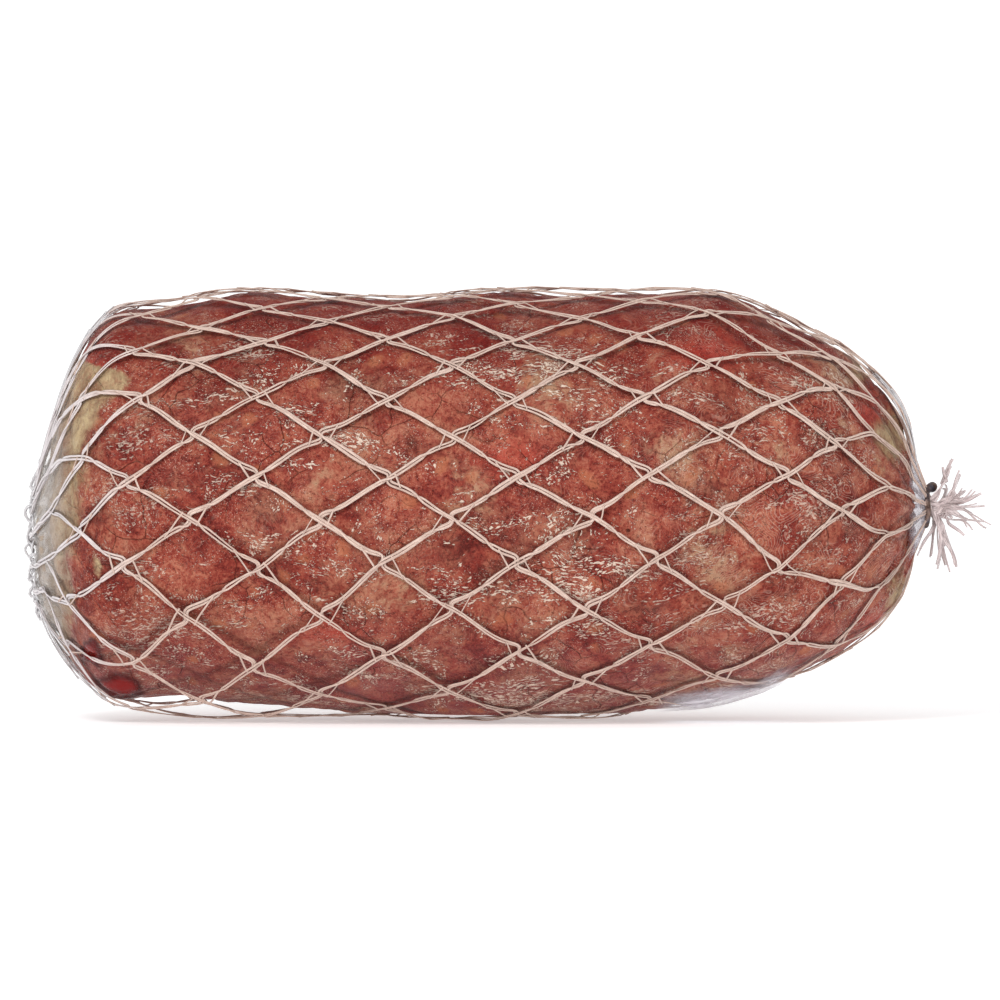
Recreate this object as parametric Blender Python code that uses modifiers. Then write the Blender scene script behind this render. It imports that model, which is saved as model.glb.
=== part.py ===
"""Large salami log in a knotless net, the net's mouth gathered in a wire clip.

The log lies along X with its clipped end at +X and the side that is usually shown towards -Y.
It rests on Z = 0 with its overall footprint centred on the origin. Metres throughout.
"""

import math
import random

import bmesh
import bpy
import numpy as np

# The log: overall length, fattest radius and where along the length it is fattest.
LENGTH = 0.271
RADIUS = 0.0655
BELLY = 0.149
# The blunt end's cap and the clipped end's rounder cap: depth, and how full the curve is.
BLUNT_CAP = 0.027
BLUNT_FULLNESS = (1.7, 0.63)
CLIP_CAP = 0.069
CLIP_FULLNESS = (1.4, 0.34)
# Share of the radius lost between the belly and the start of each cap.
BLUNT_TAPER = 0.10
CLIP_TAPER = 0.033
# The axis rises and falls a little along the log, and the meat sags wider than it is tall.
SWAY = 0.0018
SWAY_PERIOD = 0.166
SWAY_CREST = 0.050
# The blunt end's pole sits this much below the axis, and the cap comes down to it by this power.
BLUNT_DROP = 0.0078
DROP_POWER = 2.4
WIDER = 1.015
# Uneven bulges of the meat under its casing.
BULGES = 9
BULGE_HEIGHT = 0.00034
# A fat lobe at the lower front corner of the blunt end: place, turn from the front, size, height.
LOBE = (0.027, math.radians(-78), 0.023, 0.0036)

# The net: meshes round the log, rows of crossings along it, and the strand.
MESHES = 16
ROWS = 15
ROW_STEP = 0.0204
FIRST_ROW = 0.0245
STRAND = 0.0015
CLEAR = 0.00048
COLUMN_START = math.radians(8.0)
CAP_LIFT = 0.0006
BLUNT_LIFT = 0.0015
BLUNT_BEND = FIRST_ROW + 2.5 * ROW_STEP
CLIP_BEND = FIRST_ROW + (ROWS - 5.5) * ROW_STEP
# The net is slack at the underside of the blunt end, and stands off along the top.
SLACK_MIDDLE = 0.060
SLACK_REACH = 0.045
TOP_LIFT = 0.0016

# How far the belly is pressed flat where it rests, and the axis height that follows.
PRESSED = 0.0008
BODY_REST = STRAND + 1.6 * CLEAR
AXIS_HEIGHT = RADIUS + BODY_REST - PRESSED

# The gathered closed end: a short upright crest of bunched loops on the blunt end.
CREST_DROP = 0.0035
CREST_HALF = 0.022
CREST_THICK = 0.0015
CREST_BEADS = 11

# The gathered mouth: neck, wire clip round it and the frayed tail beyond it.
NECK_RADIUS = 0.0040
CLIP_X = LENGTH + 0.0052
CLIP_WIRE = 0.0022
CLIP_RADIUS = NECK_RADIUS + CLEAR + CLIP_WIRE / 2
CLIP_OVERLAP = 0.0024
TAIL_START = CLIP_X + 0.0021
TAIL_CORE = 0.0058
TAIL_STRANDS = 18
TAIL_WIDTH = 0.0011

SIDES_ROUND = 52
SIDES_ALONG = 42
GOLDEN_TURN = math.radians(137.508)


def log_radius(x):
    """Radius at a distance from the blunt end: a tapering barrel times the rounding of the caps."""
    held = np.clip(x, BLUNT_CAP, LENGTH - CLIP_CAP)
    blunt_share = np.clip((BELLY - held) / (BELLY - BLUNT_CAP), 0, 1)
    clip_share = np.clip((held - BELLY) / (LENGTH - CLIP_CAP - BELLY), 0, 1)
    barrel = RADIUS * (1 - BLUNT_TAPER * blunt_share**2 - CLIP_TAPER * clip_share**2)
    blunt = np.clip((BLUNT_CAP - x) / BLUNT_CAP, 0, 1)
    clipped = np.clip((x - LENGTH + CLIP_CAP) / CLIP_CAP, 0, 1)
    rounding = (1 - blunt ** BLUNT_FULLNESS[0]) ** BLUNT_FULLNESS[1]
    return barrel * rounding * (1 - clipped ** CLIP_FULLNESS[0]) ** CLIP_FULLNESS[1]


def side_curve():
    """Points along the log's side from pole to pole: arc length, x, radius, and the outward normal."""
    turn = np.linspace(0, np.pi, 1500)
    x = LENGTH * (1 - np.cos(turn)) / 2
    radius = log_radius(x)
    step = np.hypot(np.diff(x), np.diff(radius))
    arc = np.concatenate([[0], np.cumsum(step)])
    slope_x = np.gradient(x, arc)
    slope_r = np.gradient(radius, arc)
    return arc, x, radius, -slope_r, slope_x


ARC, SIDE_X, SIDE_R, NORMAL_X, NORMAL_R = side_curve()


def bulge_waves():
    """Seeded waves whose sum makes the log uneven: pitch along, turns round, phase."""
    draw = random.Random(7)
    waves = []
    for index in range(BULGES):
        pitch = draw.uniform(0.035, 0.11) * draw.choice((-1, 1))
        waves.append((pitch, 1 + index % 5, draw.uniform(0, math.tau)))
    return waves


WAVES = bulge_waves()


def bulge(x, angle):
    """How far the meat stands out beyond the smooth log at a place on it."""
    height = sum(math.sin(math.tau * x / p + n * angle + phase) for p, n, phase in WAVES)
    lobe_x, lobe_angle, lobe_size, lobe_height = LOBE
    away = math.remainder(angle - lobe_angle, math.tau) * RADIUS
    near = ((x - lobe_x) ** 2 + away**2) / lobe_size**2
    return BULGE_HEIGHT * height + lobe_height * math.exp(-2 * near)


def taut_bulge(x, angle):
    """Height of a net stretched over the bulges: the highest meat within half a mesh side."""
    along = [x + ROW_STEP * share for share in (-0.5, -0.25, 0.0, 0.25, 0.5)]
    round_log = [angle + math.tau / MESHES * share for share in (-0.3, -0.15, 0.0, 0.15, 0.3)]
    return max(bulge(near, turned) for near in along for turned in round_log)


def axis_at(x):
    """Height of the log's own axis: a slow sway, and the fall to the blunt end's low pole."""
    sway = SWAY * math.cos(math.tau * (x - SWAY_CREST) / SWAY_PERIOD)
    return sway - BLUNT_DROP * min(1.0, max(0.0, 1 - x / BLUNT_CAP)) ** DROP_POWER


def on_log(arc, angle, lift=0.0, height=bulge):
    """Point at an arc length from the blunt pole and an angle up from the front, lifted off."""
    x, radius, out_x, out_r = (
        float(np.interp(arc, ARC, values)) for values in (SIDE_X, SIDE_R, NORMAL_X, NORMAL_R)
    )
    swell = height(x, angle) * min(1.0, radius / (0.3 * RADIUS))
    x += (lift + swell) * out_x
    radius += (lift + swell) * out_r
    return [x, -WIDER * radius * math.cos(angle), axis_at(x) + radius * math.sin(angle)]


def on_end(across, up, lift, blunt):
    """Point on an end cap seen end-on, across and up from its pole, lifted off the meat."""
    arc_of = ARC if blunt else ARC[::-1]
    radius_of = SIDE_R if blunt else SIDE_R[::-1]
    half = len(ARC) // 3
    arc = float(np.interp(math.hypot(across, up), radius_of[:half], arc_of[:half]))
    return on_log(arc, math.atan2(up, -across), lift, taut_bulge)


def floor_level(rest):
    """Height of the floor plus a rest height, measured from the log's axis."""
    return rest - AXIS_HEIGHT


def link(obj, colour, roughness, metallic=0.0):
    """Puts an object in the model's collection with its own material, shaded smooth."""
    material = bpy.data.materials.new(obj.name)
    material.use_nodes = True
    shader = material.node_tree.nodes["Principled BSDF"]
    shader.inputs["Base Color"].default_value = (*colour, 1)
    shader.inputs["Roughness"].default_value = roughness
    shader.inputs["Metallic"].default_value = metallic
    obj.data.materials.append(material)
    if obj.name not in PARTS.objects:
        PARTS.objects.link(obj)
    return obj


def salami_log():
    """The meat: a UV sphere whose points are carried onto the log, flat where it rests."""
    shape = bmesh.new()
    bmesh.ops.create_uvsphere(shape, u_segments=SIDES_ROUND, v_segments=SIDES_ALONG, radius=1)
    for vert in shape.verts:
        arc = ARC[-1] * math.acos(max(-1.0, min(1.0, -vert.co.z))) / math.pi
        x, y, z = on_log(arc, math.atan2(vert.co.y, vert.co.x))
        vert.co = (x, y, max(z, floor_level(BODY_REST)))
    shape.normal_update()
    bmesh.ops.recalc_face_normals(shape, faces=shape.faces)
    mesh = bpy.data.meshes.new("salami")
    shape.to_mesh(mesh)
    shape.free()
    mesh.shade_smooth()
    return link(bpy.data.objects.new("salami", mesh), (0.33, 0.075, 0.045), 0.5)


def net_lift(arc, angle):
    """Height of the strand's centre line above the meat: more on the caps and along the top."""
    cap = BLUNT_LIFT * max(0.0, 1 - arc / 0.09) + CAP_LIFT * max(0.0, 1 - (ARC[-1] - arc) / 0.09)
    crown = max(0.0, math.sin(angle)) ** 6
    ripple = 0.5 + 0.5 * math.cos(math.tau * (arc - 0.060) / 0.118)
    return CLEAR + 0.5 * STRAND + cap + TOP_LIFT * crown * ripple


def column_angle(column):
    """Angle up from the front of a column of the net: closer on top, wider at the lower front."""
    even = COLUMN_START + math.tau * column / MESHES
    return even + 0.26 * (math.cos(even) - 1) + 0.10 * math.sin(even)


def net_point(arc, column, offset=0.0):
    """Place on the net, slack below the blunt end and flat where it rests; offset is outward."""
    angle = column_angle(column)
    x, y, z = on_log(arc, angle, net_lift(arc, angle) + offset, taut_bulge)
    below = max(0.0, -math.sin(angle)) ** 5
    near = max(0.0, 1 - ((x - SLACK_MIDDLE) / SLACK_REACH) ** 2)
    rest = floor_level(STRAND / 2 - offset)
    z += (rest - z) * below * near
    return (x, y, max(z, rest))


def rolled_mesh(row, column):
    """Corners of one mesh of the net while it is still a straight roll of the belly's radius."""
    corners = []
    for up, across in ((-1, 0), (0, 0.5), (1, 0), (0, -0.5)):
        turn = math.tau * (column + across) / MESHES
        arc = FIRST_ROW + ROW_STEP * (row + up)
        corners.append((arc, -RADIUS * math.cos(turn), RADIUS * math.sin(turn)))
    return corners


def bends(edge):
    """Whether an edge runs along a strand where the log curves: on the caps and the underside."""
    x, y, z = (edge.verts[0].co + edge.verts[1].co) / 2
    curved = x < BLUNT_BEND or x > CLIP_BEND or z < -0.8 * RADIUS
    return curved and edge.calc_length() > ROW_STEP / 2


def net_lattice():
    """The open meshes: diamonds on a straight roll, made struts by Wireframe, laid on the log."""
    sheet = bmesh.new()
    for row in range(1, ROWS - 1):
        for column in range(MESHES):
            corners = rolled_mesh(row, column + 0.5 * ((row + 1) % 2))
            sheet.faces.new([sheet.verts.new(corner) for corner in corners])
    bmesh.ops.remove_doubles(sheet, verts=sheet.verts, dist=1e-5)
    sheet.normal_update()
    bmesh.ops.recalc_face_normals(sheet, faces=sheet.faces)
    mesh = bpy.data.meshes.new("net_sheet")
    sheet.to_mesh(mesh)
    lattice = bpy.data.objects.new("net_sheet", mesh)
    PARTS.objects.link(lattice)
    struts = lattice.modifiers.new("struts", "WIREFRAME")
    struts.thickness = STRAND
    struts.offset = 0.0
    struts.use_even_offset = False
    struts.use_boundary = True
    net_roll = as_mesh(lattice, "net")
    sheet.clear()
    sheet.from_mesh(net_roll.data)
    bmesh.ops.subdivide_edges(sheet, edges=[edge for edge in sheet.edges if bends(edge)], cuts=1)
    for vert in sheet.verts:
        arc, y, z = vert.co
        column = MESHES * math.atan2(z, -y) / math.tau
        vert.co = net_point(arc, column, math.hypot(y, z) - RADIUS)
    sheet.to_mesh(net_roll.data)
    sheet.free()
    return net_roll


def as_mesh(obj, name):
    """Swaps an object for the mesh that its modifiers or bevel make, with its ends welded."""
    graph = bpy.context.evaluated_depsgraph_get()
    mesh = bpy.data.meshes.new_from_object(obj.evaluated_get(graph))
    shape = bmesh.new()
    shape.from_mesh(mesh)
    bmesh.ops.remove_doubles(shape, verts=shape.verts, dist=1e-6)
    bmesh.ops.recalc_face_normals(shape, faces=shape.faces)
    shape.to_mesh(mesh)
    shape.free()
    bpy.data.objects.remove(obj)
    mesh.name = name
    solid = bpy.data.objects.new(name, mesh)
    PARTS.objects.link(solid)
    return solid


def tube(name, points, radius, taper=(), sides=0):
    """A round strand through points: a bevelled curve made a mesh. taper scales each point."""
    curve = bpy.data.curves.new(name, "CURVE")
    curve.dimensions = "3D"
    curve.bevel_depth = radius
    curve.bevel_resolution = sides
    curve.use_fill_caps = True
    spline = curve.splines.new("POLY")
    spline.points.add(len(points) - 1)
    for index, point in enumerate(points):
        spline.points[index].co = (*point, 1)
        spline.points[index].radius = taper[index] if taper else 1.0
    strand = bpy.data.objects.new(name, curve)
    PARTS.objects.link(strand)
    return as_mesh(strand, name)


def join(body, pieces):
    """Unites pieces with a body by one Boolean on their collection, then removes them."""
    joined = bpy.data.collections.new("joined_to_" + body.name)
    for piece in pieces:
        joined.objects.link(piece)
    union = body.modifiers.new("union", "BOOLEAN")
    union.operation = "UNION"
    union.operand_type = "COLLECTION"
    union.collection = joined
    union.solver = "MANIFOLD"
    name = body.name
    body.name = name + "_loose"
    whole = as_mesh(body, name)
    for piece in pieces:
        bpy.data.objects.remove(piece)
    bpy.data.collections.remove(joined)
    return whole


def gather_strands(blunt):
    """The strands between the last crossings and the crest, or the neck, of a gathered end."""
    strands = []
    row = 0 if blunt else ROWS - 1
    arc = FIRST_ROW + ROW_STEP * row
    radius = float(np.interp(arc, ARC, SIDE_R))
    for index in range(MESHES):
        column = index + 0.5 * (row % 2)
        angle = column_angle(column)
        across, up = -radius * math.cos(angle), radius * math.sin(angle)
        if blunt:
            goal = (-0.0012 * math.cos(angle), CREST_HALF * 0.85 * math.sin(angle) - CREST_DROP)
        else:
            goal = (-0.55 * NECK_RADIUS * math.cos(angle), 0.55 * NECK_RADIUS * math.sin(angle))
        points = [net_point(arc, column)]
        extra = 0.0009 if blunt else 0.0002
        for share in (0.33, 0.66, 1.0):
            place = (across + (goal[0] - across) * share, up + (goal[1] - up) * share)
            points.append(on_end(*place, CLEAR + 0.75 * STRAND + extra, blunt))
        strands.append(tube("gather", points, STRAND * 0.52))
    return strands


def crest():
    """The bunched loops of the closed end: an upright rope with a bead for each loop."""
    count = 2 * CREST_BEADS + 1
    points = []
    taper = []
    for index in range(count):
        share = index / (count - 1)
        up = CREST_HALF * (1 - 2 * share) - CREST_DROP
        points.append(on_end(0.0, up, CLEAR + 1.1 * CREST_THICK, True))
        taper.append((0.80 + 0.28 * (index % 2)) * (0.72 + 0.28 * math.sin(math.pi * share)))
    return tube("crest", points, CREST_THICK, taper, sides=1)


def neck():
    """The bunched strands inside the clip, as a fluted plug along the log's axis."""
    points = [(LENGTH + reach, 0, axis_at(LENGTH)) for reach in (0.0006, 0.0022, 0.0067)]
    return tube("neck", points, NECK_RADIUS, (0.85, 0.98, 0.98), sides=2)


def net():
    """The whole net: lattice, both gathers, the crest and the neck, joined into one solid."""
    pieces = gather_strands(True) + gather_strands(False) + [crest(), neck()]
    return link(join(net_lattice(), pieces), (0.78, 0.66, 0.57), 0.55)


def wire_clip():
    """The clip: a wire bent once round the neck, its two ends lapped side by side on top."""
    middle = axis_at(LENGTH)
    points = []
    taper = []
    steps = 24
    lap = math.radians(34)
    for index in range(steps + 1):
        share = index / steps
        angle = math.pi / 2 - lap / 2 + (math.tau + lap) * share
        sideways = CLIP_OVERLAP * max(-0.5, min(0.5, 5 * (share - 0.5) / 2))
        across = CLIP_RADIUS * math.cos(angle)
        points.append((CLIP_X - sideways, across, middle + CLIP_RADIUS * math.sin(angle)))
        taper.append(1.35 if index in (0, 1) else 1.0)
    clip = tube("clip", points, CLIP_WIRE / 2, taper, sides=1)
    return link(clip, (0.16, 0.14, 0.13), 0.4, metallic=0.9)


def tail_strand(index, middle):
    """One frayed end: it leaves the core, fans out round the axis and droops with its weight."""
    draw = random.Random(40 + index)
    share = (index + 0.5) / TAIL_STRANDS
    turn = index * GOLDEN_TURN
    spread = math.radians(20 + 62 * share**0.8)
    length = 0.0070 + draw.uniform(0.0, 0.0035) + 0.0065 * share
    around = (math.cos(turn), math.sin(turn))
    points = []
    for reach in (0.0, 0.35, 0.7, 1.0):
        out = 0.0016 + math.sin(spread) * length * reach
        along = 0.002 + TAIL_CORE * (0.9 - 0.55 * share) * (0.55 + 0.45 * reach)
        along += math.cos(spread) * length * reach
        droop = 0.0042 * reach**2 * (0.3 + share)
        points.append((TAIL_START + along, around[0] * out, middle + around[1] * out - droop))
    width = TAIL_WIDTH * draw.uniform(0.75, 1.1)
    return tube("frayed", points, width, (1.0, 0.95, 0.8, 0.45))


def net_tail():
    """The frayed tail: a core of cut strands that starts inside the clip, and their loose ends."""
    middle = axis_at(LENGTH)
    reaches = (0.0, 0.0012, 0.004, TAIL_CORE)
    core = [(TAIL_START + reach, 0, middle) for reach in reaches]
    body = tube("net_tail", core, NECK_RADIUS, (0.80, 0.98, 1.0, 0.55), sides=2)
    strands = [tail_strand(index, middle) for index in range(TAIL_STRANDS)]
    return link(join(body, strands), (0.80, 0.70, 0.64), 0.55)


def set_down(pieces):
    """Moves the finished pieces so that their common footprint is centred on the origin."""
    corners = np.array([vert.co for piece in pieces for vert in piece.data.vertices])
    low, high = corners.min(axis=0), corners.max(axis=0)
    for piece in pieces:
        piece.location = (-(low[0] + high[0]) / 2, -(low[1] + high[1]) / 2, -low[2])


for old in list(bpy.data.objects):
    bpy.data.objects.remove(old)
PARTS = bpy.data.collections.new("netted_salami")
bpy.context.scene.collection.children.link(PARTS)
set_down([salami_log(), net(), wire_clip(), net_tail()])
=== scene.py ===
"""Looks of a large salami log in a diamond net: meat, yarns, clip, frayed tail and loose film.

Every form is worked out on the log's own coordinates: an arc length from the blunt pole and an
angle up from the front. Lengths are metres, except in the tables that say millimetres.
"""

import math
import random

import bpy
import numpy as np
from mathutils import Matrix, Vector


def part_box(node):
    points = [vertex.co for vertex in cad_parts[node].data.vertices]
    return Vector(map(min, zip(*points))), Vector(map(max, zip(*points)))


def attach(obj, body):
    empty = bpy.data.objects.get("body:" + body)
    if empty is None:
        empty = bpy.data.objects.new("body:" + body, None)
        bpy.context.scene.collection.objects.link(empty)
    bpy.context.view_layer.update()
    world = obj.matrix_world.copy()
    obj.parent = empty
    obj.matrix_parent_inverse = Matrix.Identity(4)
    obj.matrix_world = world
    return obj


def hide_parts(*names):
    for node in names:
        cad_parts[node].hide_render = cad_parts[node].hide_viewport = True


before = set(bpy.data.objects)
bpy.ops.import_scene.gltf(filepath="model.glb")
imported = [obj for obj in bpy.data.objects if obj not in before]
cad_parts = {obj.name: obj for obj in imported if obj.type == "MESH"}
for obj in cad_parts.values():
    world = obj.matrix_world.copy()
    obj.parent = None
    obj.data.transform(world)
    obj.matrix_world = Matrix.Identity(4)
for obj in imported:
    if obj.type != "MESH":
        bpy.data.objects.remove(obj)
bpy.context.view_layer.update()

# The log, as the part has it: length, fattest radius and where, caps and tapers.
LENGTH = 0.271
RADIUS = 0.0655
BELLY = 0.149
BLUNT_CAP = 0.027
BLUNT_FULLNESS = (1.7, 0.63)
CLIP_CAP = 0.069
CLIP_FULLNESS = (1.4, 0.34)
BLUNT_TAPER = 0.10
CLIP_TAPER = 0.033
SWAY = 0.0018
SWAY_PERIOD = 0.166
SWAY_CREST = 0.050
BLUNT_DROP = 0.0078
DROP_POWER = 2.4
WIDER = 1.015
BULGES = 9
BULGE_HEIGHT = 0.00034
LOBE = (0.027, math.radians(-78), 0.023, 0.0036)

# The net, as the part has it: meshes, rows, strand and how it lies.
MESHES = 16
ROWS = 15
ROW_STEP = 0.0204
FIRST_ROW = 0.0245
STRAND = 0.0015
CLEAR = 0.00048
COLUMN_START = math.radians(8.0)
COLUMN_BEND = (0.26, 0.10)
SLACK_MIDDLE = 0.060
SLACK_REACH = 0.045
PRESSED = 0.0008
BODY_REST = STRAND + 1.6 * CLEAR
AXIS_HEIGHT = RADIUS + BODY_REST - PRESSED
CREST_DROP = 0.0035
CREST_HALF = 0.022
NECK_RADIUS = 0.0040
CLIP_X = LENGTH + 0.0052
SIDES_ROUND = 52
SIDES_ALONG = 42

# The meat's surface grid and its relief.
MEAT_ROUND = 344
MEAT_ALONG = 284
CHUNK = 0.0105
CHUNK_HEIGHT = 0.00042
PILLOW = 0.00040
PLEATS = 23
PLEAT_HEIGHT = 0.0006
FOLD_HEIGHT = 0.0008
FOLD_PITCH = 0.0011

# The yarns: two flat tapes twisted round each other make a strand.
STEPS_A_ROW = 20
GATHER_STEPS = 26
YARN_LIFT = 0.00058
TAPE_HALF_WIDTH = 0.00038
TAPE_HALF_THICKNESS = 0.00020
TWIST_PITCH = 0.034
TWIST_SPREAD = 0.00040
TWIST_HEIGHT = 0.00024
FLATTER_CROSSING = 0.16
WEAVE_HEIGHT = 0.00022
CROWN_LIFT = 0.0014
HOP = 0.090
HOP_TURN = 0.035
HOP_REACH = 0.20
GATHER_RADIUS = 0.0034
BRIDGE_AT = 0.27
BRIDGE_HALF_WIDTH = 0.00026
CLIP_SLACK = 0.0028
CLIP_SLACK_X = 0.2695
CREST_RINGS = 17
FILAMENTS = 62
BLUNT_FILAMENTS = 36

# Where the crossings seen from the front sit off the even lattice: millimetres along the log
# and degrees up it, for each row after the first, at columns 2.5 or 2 below the front and up.
CROSSING_SHIFTS = [
    [(0.9, -5.0), (1.2, -6.2), (8.2, -3.5), (9.7, -2.4), (9.2, -2.1), (12.0, 0.0)],
    [(7.1, -6.0), (4.2, -0.7), (5.1, -1.8), (9.5, 1.3), (7.1, -2.4)],
    [(7.4, -3.6), (2.5, -3.2), (4.0, -0.5), (4.9, -0.4), (4.5, 2.2), (6.9, -3.0)],
    [(3.0, -3.3), (5.0, -1.5), (4.5, -0.8), (4.5, -0.4), (6.9, -0.2)],
    [(3.0, 0.0), (3.8, -0.2), (3.4, 0.5), (3.4, -0.2), (4.8, 0.9), (4.8, 0.2)],
    [(2.2, 2.0), (2.2, 4.0), (4.2, 0.7), (3.2, 0.3), (3.7, 1.8)],
    [(1.6, 1.8), (2.6, 4.3), (2.6, 3.0), (3.5, 0.6), (2.6, 1.4), (3.0, 2.5)],
    [(2.9, 4.5), (1.9, 3.5), (2.4, 1.5), (1.4, -0.2), (1.0, 0.6)],
    [(2.2, 4.8), (3.2, 2.3), (5.1, 2.0), (1.8, -0.4), (-0.2, 0.4), (1.3, 0.7)],
    [(2.1, 2.5), (4.0, 2.8), (1.6, -0.3), (0.2, -0.9), (-1.3, 1.1)],
    [(2.4, -1.0), (4.8, 0.0), (3.4, 0.5), (3.4, -0.7), (-1.0, -0.6), (-1.0, 2.0)],
    [(4.2, -2.5), (0.8, -3.8), (4.7, 0.5), (1.8, 0.8), (2.0, 0.0)],
    [(1.6, -7.2), (2.6, 1.0), (3.1, 2.0), (-0.3, 2.1), (-1.8, 3.2), (-1.9, 0.0)],
    [(-2.4, 1.3), (-0.5, 3.5), (1.0, 1.7), (-6.3, 1.8), (-4.6, 0.0)],
]
SHIFT_BLEND = 0.5

# The photograph's framing: the width that it shows, and the camera's distance, tilt and aim.
FRAME_WIDTH = 0.310
CAMERA_DISTANCE = 4.0
CAMERA_ELEVATION = math.radians(1.5)
CAMERA_AIM = (-0.0015, 0.0, 0.0682)


def srgb(red, green, blue):
    """Linear colour of an 8-bit display colour, by the display's power curve."""
    shares = [value / 255 for value in (red, green, blue)]
    return tuple(s / 12.92 if s < 0.04045 else ((s + 0.055) / 1.055) ** 2.4 for s in shares)


# Coordinates on the log


def log_radius(x):
    """Radius at a distance from the blunt end: a tapering barrel times the rounding of the caps."""
    held = np.clip(x, BLUNT_CAP, LENGTH - CLIP_CAP)
    blunt_share = np.clip((BELLY - held) / (BELLY - BLUNT_CAP), 0, 1)
    clip_share = np.clip((held - BELLY) / (LENGTH - CLIP_CAP - BELLY), 0, 1)
    barrel = RADIUS * (1 - BLUNT_TAPER * blunt_share**2 - CLIP_TAPER * clip_share**2)
    blunt = np.clip((BLUNT_CAP - x) / BLUNT_CAP, 0, 1)
    clipped = np.clip((x - LENGTH + CLIP_CAP) / CLIP_CAP, 0, 1)
    rounding = (1 - blunt ** BLUNT_FULLNESS[0]) ** BLUNT_FULLNESS[1]
    return barrel * rounding * (1 - clipped ** CLIP_FULLNESS[0]) ** CLIP_FULLNESS[1]


def side_curve():
    """The log's side from pole to pole: arc length, x, radius, and the outward normal."""
    turn = np.linspace(0, np.pi, 1500)
    x = LENGTH * (1 - np.cos(turn)) / 2
    radius = log_radius(x)
    step = np.hypot(np.diff(x), np.diff(radius))
    arc = np.concatenate([[0], np.cumsum(step)])
    return arc, x, radius, -np.gradient(radius, arc), np.gradient(x, arc)


ARC, SIDE_X, SIDE_R, NORMAL_X, NORMAL_R = side_curve()


def bulge_waves():
    """The part's seeded waves whose sum makes the log uneven: pitch along, turns round, phase."""
    draw = random.Random(7)
    waves = []
    for index in range(BULGES):
        pitch = draw.uniform(0.035, 0.11) * draw.choice((-1, 1))
        waves.append((pitch, 1 + index % 5, draw.uniform(0, math.tau)))
    return waves


WAVES = bulge_waves()


def bulge(x, angle):
    """How far the meat stands out: a sum of sines of x and angle, and a Gaussian lobe."""
    height = sum(np.sin(math.tau * x / p + n * angle + phase) for p, n, phase in WAVES)
    lobe_x, lobe_angle, lobe_size, lobe_height = LOBE
    away = ((angle - lobe_angle + math.pi) % math.tau - math.pi) * RADIUS
    near = ((x - lobe_x) ** 2 + away**2) / lobe_size**2
    return BULGE_HEIGHT * height + lobe_height * np.exp(-2 * near)


def taut_bulge(x, angle):
    """Height of a net stretched over the bulges: mostly the highest meat within half a side."""
    shifts = [(a, b) for a in (-0.5, -0.25, 0, 0.25, 0.5) for b in (-0.3, -0.15, 0, 0.15, 0.3)]
    tried = [bulge(x + ROW_STEP * a, angle + math.tau / MESHES * b) for a, b in shifts]
    closer = step_up(x, 0.210, 0.238) * step_up(-np.sin(angle), 0.4, 0.85)
    return bulge(x, angle) + (0.6 - 0.5 * closer) * (np.max(tried, axis=0) - bulge(x, angle))


def axis_at(x):
    """Height of the log's own axis: a slow sway, and a fall by a power to the blunt pole."""
    sway = SWAY * np.cos(math.tau * (x - SWAY_CREST) / SWAY_PERIOD)
    return sway - BLUNT_DROP * np.clip(1 - x / BLUNT_CAP, 0, 1) ** DROP_POWER


def on_log(arc, angle, lift=0.0, height=bulge):
    """Points at an arc length and an angle, lifted along the side's normal, in the log's frame."""
    x, radius, out_x, out_r = (
        np.interp(arc, ARC, values) for values in (SIDE_X, SIDE_R, NORMAL_X, NORMAL_R)
    )
    swell = height(x, angle) * np.minimum(1.0, radius / (0.3 * RADIUS))
    x = x + (lift + swell) * out_x
    radius = radius + (lift + swell) * out_r
    points = [x, -WIDER * radius * np.cos(angle), axis_at(x) + radius * np.sin(angle)]
    return np.stack(np.broadcast_arrays(*points), axis=-1)


def shift_to_row():
    """Offset from the log's frame to the row's: the part's own grid of the log against its box."""
    arc = ARC[-1] * np.arange(SIDES_ALONG + 1)[:, None] / SIDES_ALONG
    angle = math.tau * np.arange(SIDES_ROUND)[None, :] / SIDES_ROUND
    grid = on_log(arc, angle).reshape(-1, 3)
    low, high = (np.array(corner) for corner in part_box("salami"))
    across = (low[1] + high[1] - grid[:, 1].min() - grid[:, 1].max()) / 2
    return np.array([low[0] - grid[:, 0].min(), across, high[2] - grid[:, 2].max()])


TO_ROW = shift_to_row()
FLOOR = -AXIS_HEIGHT
AXIS_END = float(axis_at(LENGTH))


def end_place(across, up, blunt):
    """Arc and angle of a place on an end cap given as seen end-on, across and up from the pole."""
    arc_of = ARC if blunt else ARC[::-1]
    radius_of = SIDE_R if blunt else SIDE_R[::-1]
    half = len(ARC) // 3
    arc = np.interp(np.hypot(across, up), radius_of[:half], arc_of[:half])
    return arc, np.arctan2(up, -across)


# Whole-array noise


def hashed(cell, seed):
    """A repeatable number from 0 to 1 for each integer cell, by mixing its three indices."""
    mixed = (cell[..., 0] * 73856093) ^ (cell[..., 1] * 19349663) ^ (cell[..., 2] * 83492791)
    mixed = mixed ^ (seed * 40503)
    mixed = ((mixed ^ (mixed >> 15)) * 739981) & 0x7FFFFFFF
    mixed = ((mixed ^ (mixed >> 13)) * 1274127) & 0x7FFFFFFF
    return (mixed ^ (mixed >> 16)) / 0x7FFFFFFF


def soft_noise(points, size, seed):
    """Value noise from -1 to 1: hashed corners of a cubic lattice, blended by smooth steps."""
    scaled = points / size
    cell = np.floor(scaled).astype(np.int64)
    share = scaled - cell
    share = share * share * (3 - 2 * share)
    total = 0
    for corner in np.ndindex(2, 2, 2):
        weight = np.prod(np.where(corner, share, 1 - share), axis=-1)
        total = total + weight * hashed(cell + np.array(corner), seed)
    return 2 * total - 1


def rough_noise(points, size, seed, octaves=3):
    """Octaves of value noise, each half the size and half the height of the one before."""
    waves = [soft_noise(points, size / 2**k, seed + k) / 2**k for k in range(octaves)]
    return sum(waves) / (2 - 0.5 ** (octaves - 1))


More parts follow.
